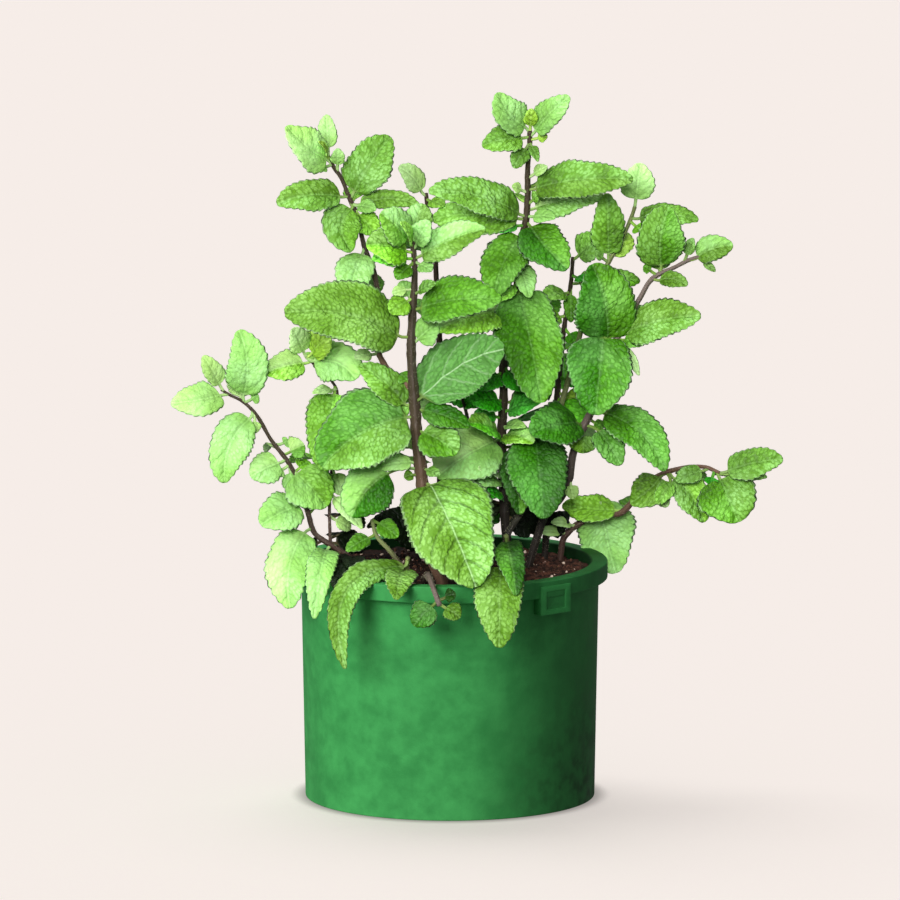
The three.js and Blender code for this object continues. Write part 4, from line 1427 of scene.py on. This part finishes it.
def leaf_sheet(shape, length, share, wide, draw):
    """A leaf's surface laid flat, whose margins both swing aside by a sine of the share of the length.

    The side veins' count grows with that share and shrinks with the distance from the midrib, so that the
    veins lean forward.
    """
    columns = next(count for width, count in LEAF_COLUMNS if shape.width > width)
    edge = np.linspace(-1, 1, columns)[None, :]
    swings = 2 * np.pi * draw.uniform(*EDGE_SWINGS_RANGE)
    swing = EDGE_SWING * np.sin(swings * share + draw.uniform(0, 2 * np.pi))
    across = edge * wide[:, None] * np.where(edge < 0, 1 + swing, 1 - swing)
    veins = np.clip(length / VEIN_SPACING, *VEIN_RANGE)
    phase = veins * (share - VEIN_LEAN * np.abs(across) / length * (1 + VEIN_CURVE * edge**2))
    return Sheet(length, share, edge, across, phase, max(wide.max(), 1))


def blade_lift(shape, sheet, draw):
    """How far the blade's points stand out of its plane.

    It rises evenly from the midrib, less a parabola by which it droops, and each margin waves by a sine of the
    share of the length. Between side veins it is domed by a sine of their count, and along the midrib it
    sinks in by a bell curve.
    """
    edge, across = sheet.edge, sheet.across
    relief = min(1.0, shape.width / FULL_RELIEF_WIDTH)
    domes = np.abs(np.sin(np.pi * sheet.phase)) ** 0.8 * (1 - edge**4)
    groove = np.exp(-((across / MIDRIB_WIDTH) ** 2))
    waves, starts = draw.uniform(*MARGIN_WAVES_RANGE, 2), draw.uniform(0, 2 * np.pi, 2)
    left, right = (np.sin(2 * np.pi * wave * sheet.share + start) for wave, start in zip(waves, starts))
    flutter = np.where(edge < 0, left, right)
    return (
        np.abs(across) * math.sin(BLADE_FOLD)
        - BLADE_DROOP * across**2 / sheet.widest
        + relief * (DOME_HEIGHT * domes * (0.3 + 0.7 * shape.veins) - MIDRIB_DEPTH * groove)
        + MARGIN_WAVE * sheet.length * flutter * np.abs(edge) ** 3 * (1 - sheet.share)
    )


def both_sides(upper, lower):
    """Rings round a leaf: across its upper side, then back between the margins on its lower side."""
    return np.concatenate([upper, lower[:, -2:0:-1]], axis=1)


def leaf_values(shape, sheet, on_blade, draw):
    """What the leaf's material reads at its points: the tone, the veins, and the place on the leaf."""
    upper = np.broadcast_arrays(sheet.edge, sheet.across, sheet.phase, sheet.share * sheet.length, on_blade)
    edge, across, phase, along, on_blade = (both_sides(part, part) for part in upper)
    under = both_sides(np.zeros(sheet.across.shape), np.ones(sheet.across.shape))
    seed = np.full(under.shape, draw.uniform(*LEAF_PLACE_RANGE))
    veins = np.full(under.shape, shape.veins)
    names = (shape.tone, shape.right or shape.tone)
    left, right = (np.array(plain_colour(TONES[name])) for name in names)
    to_right = smooth_step(edge, -0.12, 0.12)[..., None]
    tone = (left * (1 - to_right) + right * to_right) * draw.uniform(*LEAF_SHADE_RANGE)
    tone[..., 3] = on_blade
    return {
        "tone": tone,
        "vein_way": np.stack([across, phase, seed, veins], axis=-1),
        "leaf_way": np.stack([along, np.abs(edge), under], axis=-1),
    }


def add_leaf(body, shape, lines, draw):
    """Adds a leaf: rings that follow its stalk and then its blade, which is arched, bent and twisted."""
    start, base, tip = leaf_ends(shape, lines)
    chord = tip - base
    length = np.linalg.norm(chord)
    face = leaf_face(shape, chord / length)
    arch = ARCH_SHARE * length if shape.arch is None else shape.arch
    push = face * arch + np.cross(chord / length, face) * shape.bend
    teeth = int(np.clip(round(length / TOOTH_PITCH), *TEETH_RANGE))
    share = np.linspace(0, BLADE_END, teeth * ROWS_IN_TOOTH + 1)
    middle, along = leaf_middle(start, base, chord, push, share)

    stalk = np.zeros(len(middle) - len(share))
    wide = np.concatenate([stalk + PETIOLE_HALF_WIDTH, blade_half_width(share, teeth, shape.width)])
    thick = np.concatenate([stalk + PETIOLE_HALF_THICK, blade_half_thick(share)])[:, None]
    on_blade = np.concatenate([stalk, smooth_step(share, 0, 0.04)])[:, None]
    share = np.concatenate([stalk, share])[:, None]
    twist = BLADE_TWIST * draw.uniform(-1, 1) * share**2
    normal = square_to(np.broadcast_to(face, along.shape), along)
    normal = normal * np.cos(twist) + np.cross(along, normal) * np.sin(twist)
    side = np.cross(along, normal)[:, None]

    sheet = leaf_sheet(shape, length, share, wide, draw)
    lift = blade_lift(shape, sheet, draw) * on_blade
    half = thick * np.sqrt(1 - sheet.edge**2)
    plane = middle[:, None] + side * (sheet.across * math.cos(BLADE_FOLD))[..., None]
    upper, lower = (plane + normal[:, None] * height[..., None] for height in (lift + half, lift - half))
    body.add_rings(both_sides(upper, lower), **leaf_values(shape, sheet, on_blade, draw))


def stalk_radius(share, low, top):
    """How thick a stem is at a share of its length: it thins out by the square of that share."""
    return top + (low - top) * (1 - share**2)


def add_hairs(body, line, low, top):
    """Adds fine hairs to a stem: slim three-sided spikes that stand out of it and lean towards its tip."""
    count = HAIRS_IN_STEP * (len(line) - 1)
    draw = np.random.default_rng(count)
    at = draw.uniform(0, len(line) - 1.001, count)
    i, part = at.astype(int), (at % 1)[:, None]
    along = unit(line[i + 1] - line[i])
    out = square_to(draw.normal(size=along.shape), along)
    radius = stalk_radius(at / (len(line) - 1), low, top)[:, None]
    start = line[i] * (1 - part) + line[i + 1] * part + out * radius * HAIR_ROOT
    way = unit(out + HAIR_LEAN * along)
    side = square_to(along, way)
    other = np.cross(way, side)
    turn = (np.arange(3) * 2 * np.pi / 3)[:, None]
    foot = start[:, None] + HAIR_RADIUS * (side[:, None] * np.cos(turn) + other[:, None] * np.sin(turn))
    tips = start + way * HAIR_LENGTH * draw.uniform(*HAIR_SHARE_RANGE, (count, 1))
    points = np.concatenate([foot, tips[:, None]], axis=1).reshape(-1, 3)
    spike = np.array([[0, 1, 3, 3], [1, 2, 3, 3], [2, 0, 3, 3], [2, 1, 0, 0]])
    faces = (spike + 4 * np.arange(count)[:, None, None]).reshape(-1, 4)
    tone = np.tile(paint("stem hair"), (len(points), 1))
    body.add(points, faces, tone=tone, stem_way=np.zeros((len(points), 3)))


def carried(along):
    """A way square to each of the given ones, carried on from one to the next without a twist."""
    side = np.empty_like(along)
    side[0] = (1, 0, 0)
    for i, way in enumerate(along):
        side[i] = square_to(side[max(i - 1, 0)], way)
    return side


def swelling(line, ways, feet):
    """How much thicker a stem is along its line: by a bell curve at the foot of each leaf."""
    nodes = np.array([ways[np.linalg.norm(line - foot, axis=1).argmin()] for foot in feet])
    near = np.exp(-(((ways[:, None] - nodes) / NODE_LENGTH) ** 2)).max(axis=1)
    return 1 + NODE_SWELLING * near


def add_stalk(body, line, low, top, bark, feet):
    """Adds a stem: a rounded square carried along its line, thickest low down and swollen at each leaf.

    The square's radius goes up and down by the cosine of four times the angle.
    """
    along = unit(np.gradient(line, axis=0))
    side = carried(along)
    other = np.cross(along, side)
    ways = length_along(line)
    share = ways / ways[-1]
    radius = stalk_radius(share, low, top)
    if len(feet):
        radius = radius * swelling(line, ways, feet)
    angle = np.linspace(0, 2 * np.pi, STEM_SIDES, endpoint=False)
    section = 1 - STEM_SQUARE + STEM_SQUARE * np.cos(4 * angle)
    reach = (radius[:, None] * section)[..., None]
    cos, sin = np.cos(angle)[:, None], np.sin(angle)[:, None]
    rings = line[:, None] + reach * (side[:, None] * cos + other[:, None] * sin)
    first, last = (np.array(plain_colour(BARKS[name])) for name in bark)
    mix = smooth_step(share, *BARK_CHANGE)[:, None, None]
    tone = np.broadcast_to(first * (1 - mix) + last * mix, (*rings.shape[:2], 4)).copy()
    way = np.stack(np.broadcast_arrays(ways[:, None], angle[None, :], share[:, None]), axis=-1)
    body.add_rings(rings, tone=tone, stem_way=way.copy())


def stem_lines(stem):
    """The smooth lines of a stem and its twigs, from the surface of the soil up."""
    surface = (*stem.root, SOIL_LEVEL + STEM_CLEARS_SOIL)
    paths = [np.vstack([surface, seen(stem.path)]), *(seen(twig.path) for twig in stem.twigs)]
    return [smooth_line(path, STEM_STEP) for path in paths]


def make_stem(stem, stem_look, leaf_look, draw):
    """A leafy stem's two pieces: its stalks, and all its leaves."""
    lines = stem_lines(stem)
    feet = np.array([leaf_ends(shape, lines)[0] for shape in stem.leaves]).reshape(-1, 3)
    buried = np.array([[*stem.root, SOIL_LEVEL - STEM_BURIED]])
    stalks = Body(f"stalk_{stem.name}")
    add_stalk(stalks, np.vstack([buried, lines[0]]), stem.low, stem.top, stem.bark, feet)
    add_hairs(stalks, lines[0], stem.low, stem.top)
    for twig, line in zip(stem.twigs, lines[1:]):
        add_stalk(stalks, line, twig.low, twig.top, stem.bark, feet)
        add_hairs(stalks, line, twig.low, twig.top)
    stalks.make(stem_look, "stem", stem.name)
    if stem.leaves:
        leaves = Body(f"leaves_{stem.name}")
        for shape in stem.leaves:
            add_leaf(leaves, shape, lines, draw)
        leaves.make(leaf_look, "leaf", stem.name)


def backdrop_material():
    """A pale surface that glows a little, and is shaded where the pot stands on it."""
    look = Look("backdrop")
    tone = plain_colour(FLOOR_TONE)
    place = look.place()
    x, y = look.spread(place)[:2]
    contact = look.step(look.radius(x, y), CONTACT_FROM * MM, CONTACT_TO * MM, CONTACT_SHADE, 1.0)
    grain = look.noise(place, FLOOR_GRAIN * MM)
    look.set(
        Base_Color=look.shaded(tone, contact * (0.79 + 0.01 * grain)),
        Roughness=0.9,
        Specular_IOR_Level=0.0,
        Emission_Color=look.shaded(tone, contact),
        Emission_Strength=FLOOR_GLOW,
    )
    return look.material


def make_backdrop(material):
    """A plain floor that curves up into a wall far out of view, and neither lights nor shades the plant."""
    turn = np.linspace(np.pi / 2, 0, FLOOR_CURVE_STEPS)
    curve = np.column_stack([FLOOR_REACH + FLOOR_CURVE * np.sin(turn), FLOOR_CURVE * (1 - np.cos(turn))])
    backdrop = Body("backdrop")
    backdrop.add_rings(lathe([*curve, (FLOOR_REACH / 2, 0), (FLOOR_MIDDLE, 0)], FLOOR_SIDES))
    # The cap of the first ring, high up, is left out: it would shut out the surround.
    backdrop.faces[0] = np.delete(backdrop.faces[0], slice(-2 * FLOOR_SIDES, -FLOOR_SIDES), axis=0)
    shown = backdrop.shown(material)
    shown.visible_diffuse = shown.visible_glossy = shown.visible_shadow = False
    return shown


def add_lamp(name, azimuth, elevation, strength, softness):
    """A far lamp: the azimuth is right of the front, the strength is how bright it makes a white wall."""
    lamp = bpy.data.lights.new(name, "SUN")
    lamp.energy = strength * math.pi
    lamp.angle = math.radians(softness)
    holder = bpy.data.objects.new(name, lamp)
    holder.rotation_euler = (math.radians(90 - elevation), 0, math.radians(azimuth))
    bpy.context.scene.collection.objects.link(holder)
    return holder


def keep_off(lamp, *pieces):
    """Flags a lamp off some pieces: they get neither its light nor the shadows in it."""
    flagged = bpy.data.collections.new(f"{lamp.name}_flag")
    for piece in pieces:
        flagged.objects.link(piece)
    for held in flagged.collection_objects:
        held.light_linking.link_state = "EXCLUDE"
    lamp.light_linking.receiver_collection = flagged


def add_light(floor, pot, label):
    """Plain soft studio light: a wide key from the front left, a fill at the camera, a high one behind.

    The key and the fill are flagged off the floor, whose one soft shadow is the high lamp's. The fill is
    flagged off the pot and its frame too, whose right side falls off into the dark.
    """
    keep_off(add_lamp("key", *KEY_LAMP), floor)
    keep_off(add_lamp("fill", *FILL_LAMP), floor, pot, label)
    add_lamp("high", *HIGH_LAMP)
    world = bpy.data.worlds.new("surround")
    world.use_nodes = True
    world.node_tree.nodes["Background"].inputs["Strength"].default_value = SURROUND
    world.node_tree.nodes["Background"].inputs["Color"].default_value = (1, 1, 1, 1)
    bpy.context.scene.world = world
    bpy.context.scene.view_settings.view_transform = "Standard"


def add_camera():
    """The photograph's view, through a very long lens from a little above level."""
    data = bpy.data.cameras.new("camera")
    data.sensor_width = SENSOR_WIDTH
    data.lens = SENSOR_WIDTH * VIEW_DISTANCE / VIEW_WIDTH
    data.clip_end = CLIP_END_METRES
    camera = bpy.data.objects.new("camera", data)
    camera.location = (
        0,
        -VIEW_DISTANCE * VIEW_COS * MM,
        (VIEW_MIDDLE + VIEW_DISTANCE * VIEW_SIN) * MM,
    )
    camera.rotation_euler = (math.pi / 2 - SEEN_FROM, 0, 0)
    bpy.context.scene.collection.objects.link(camera)
    bpy.context.scene.camera = camera


plastic = pot_material()
add_camera()
add_light(make_backdrop(backdrop_material()), make_pot(plastic), make_label(plastic))
make_soil(soil_material())
make_crumbs(crumb_material())
leaf_look, stem_look = leaf_material(), stem_material()
draw = np.random.default_rng(LEAF_SEED)
for stem in STEMS:
    make_stem(stem, stem_look, leaf_look, draw)
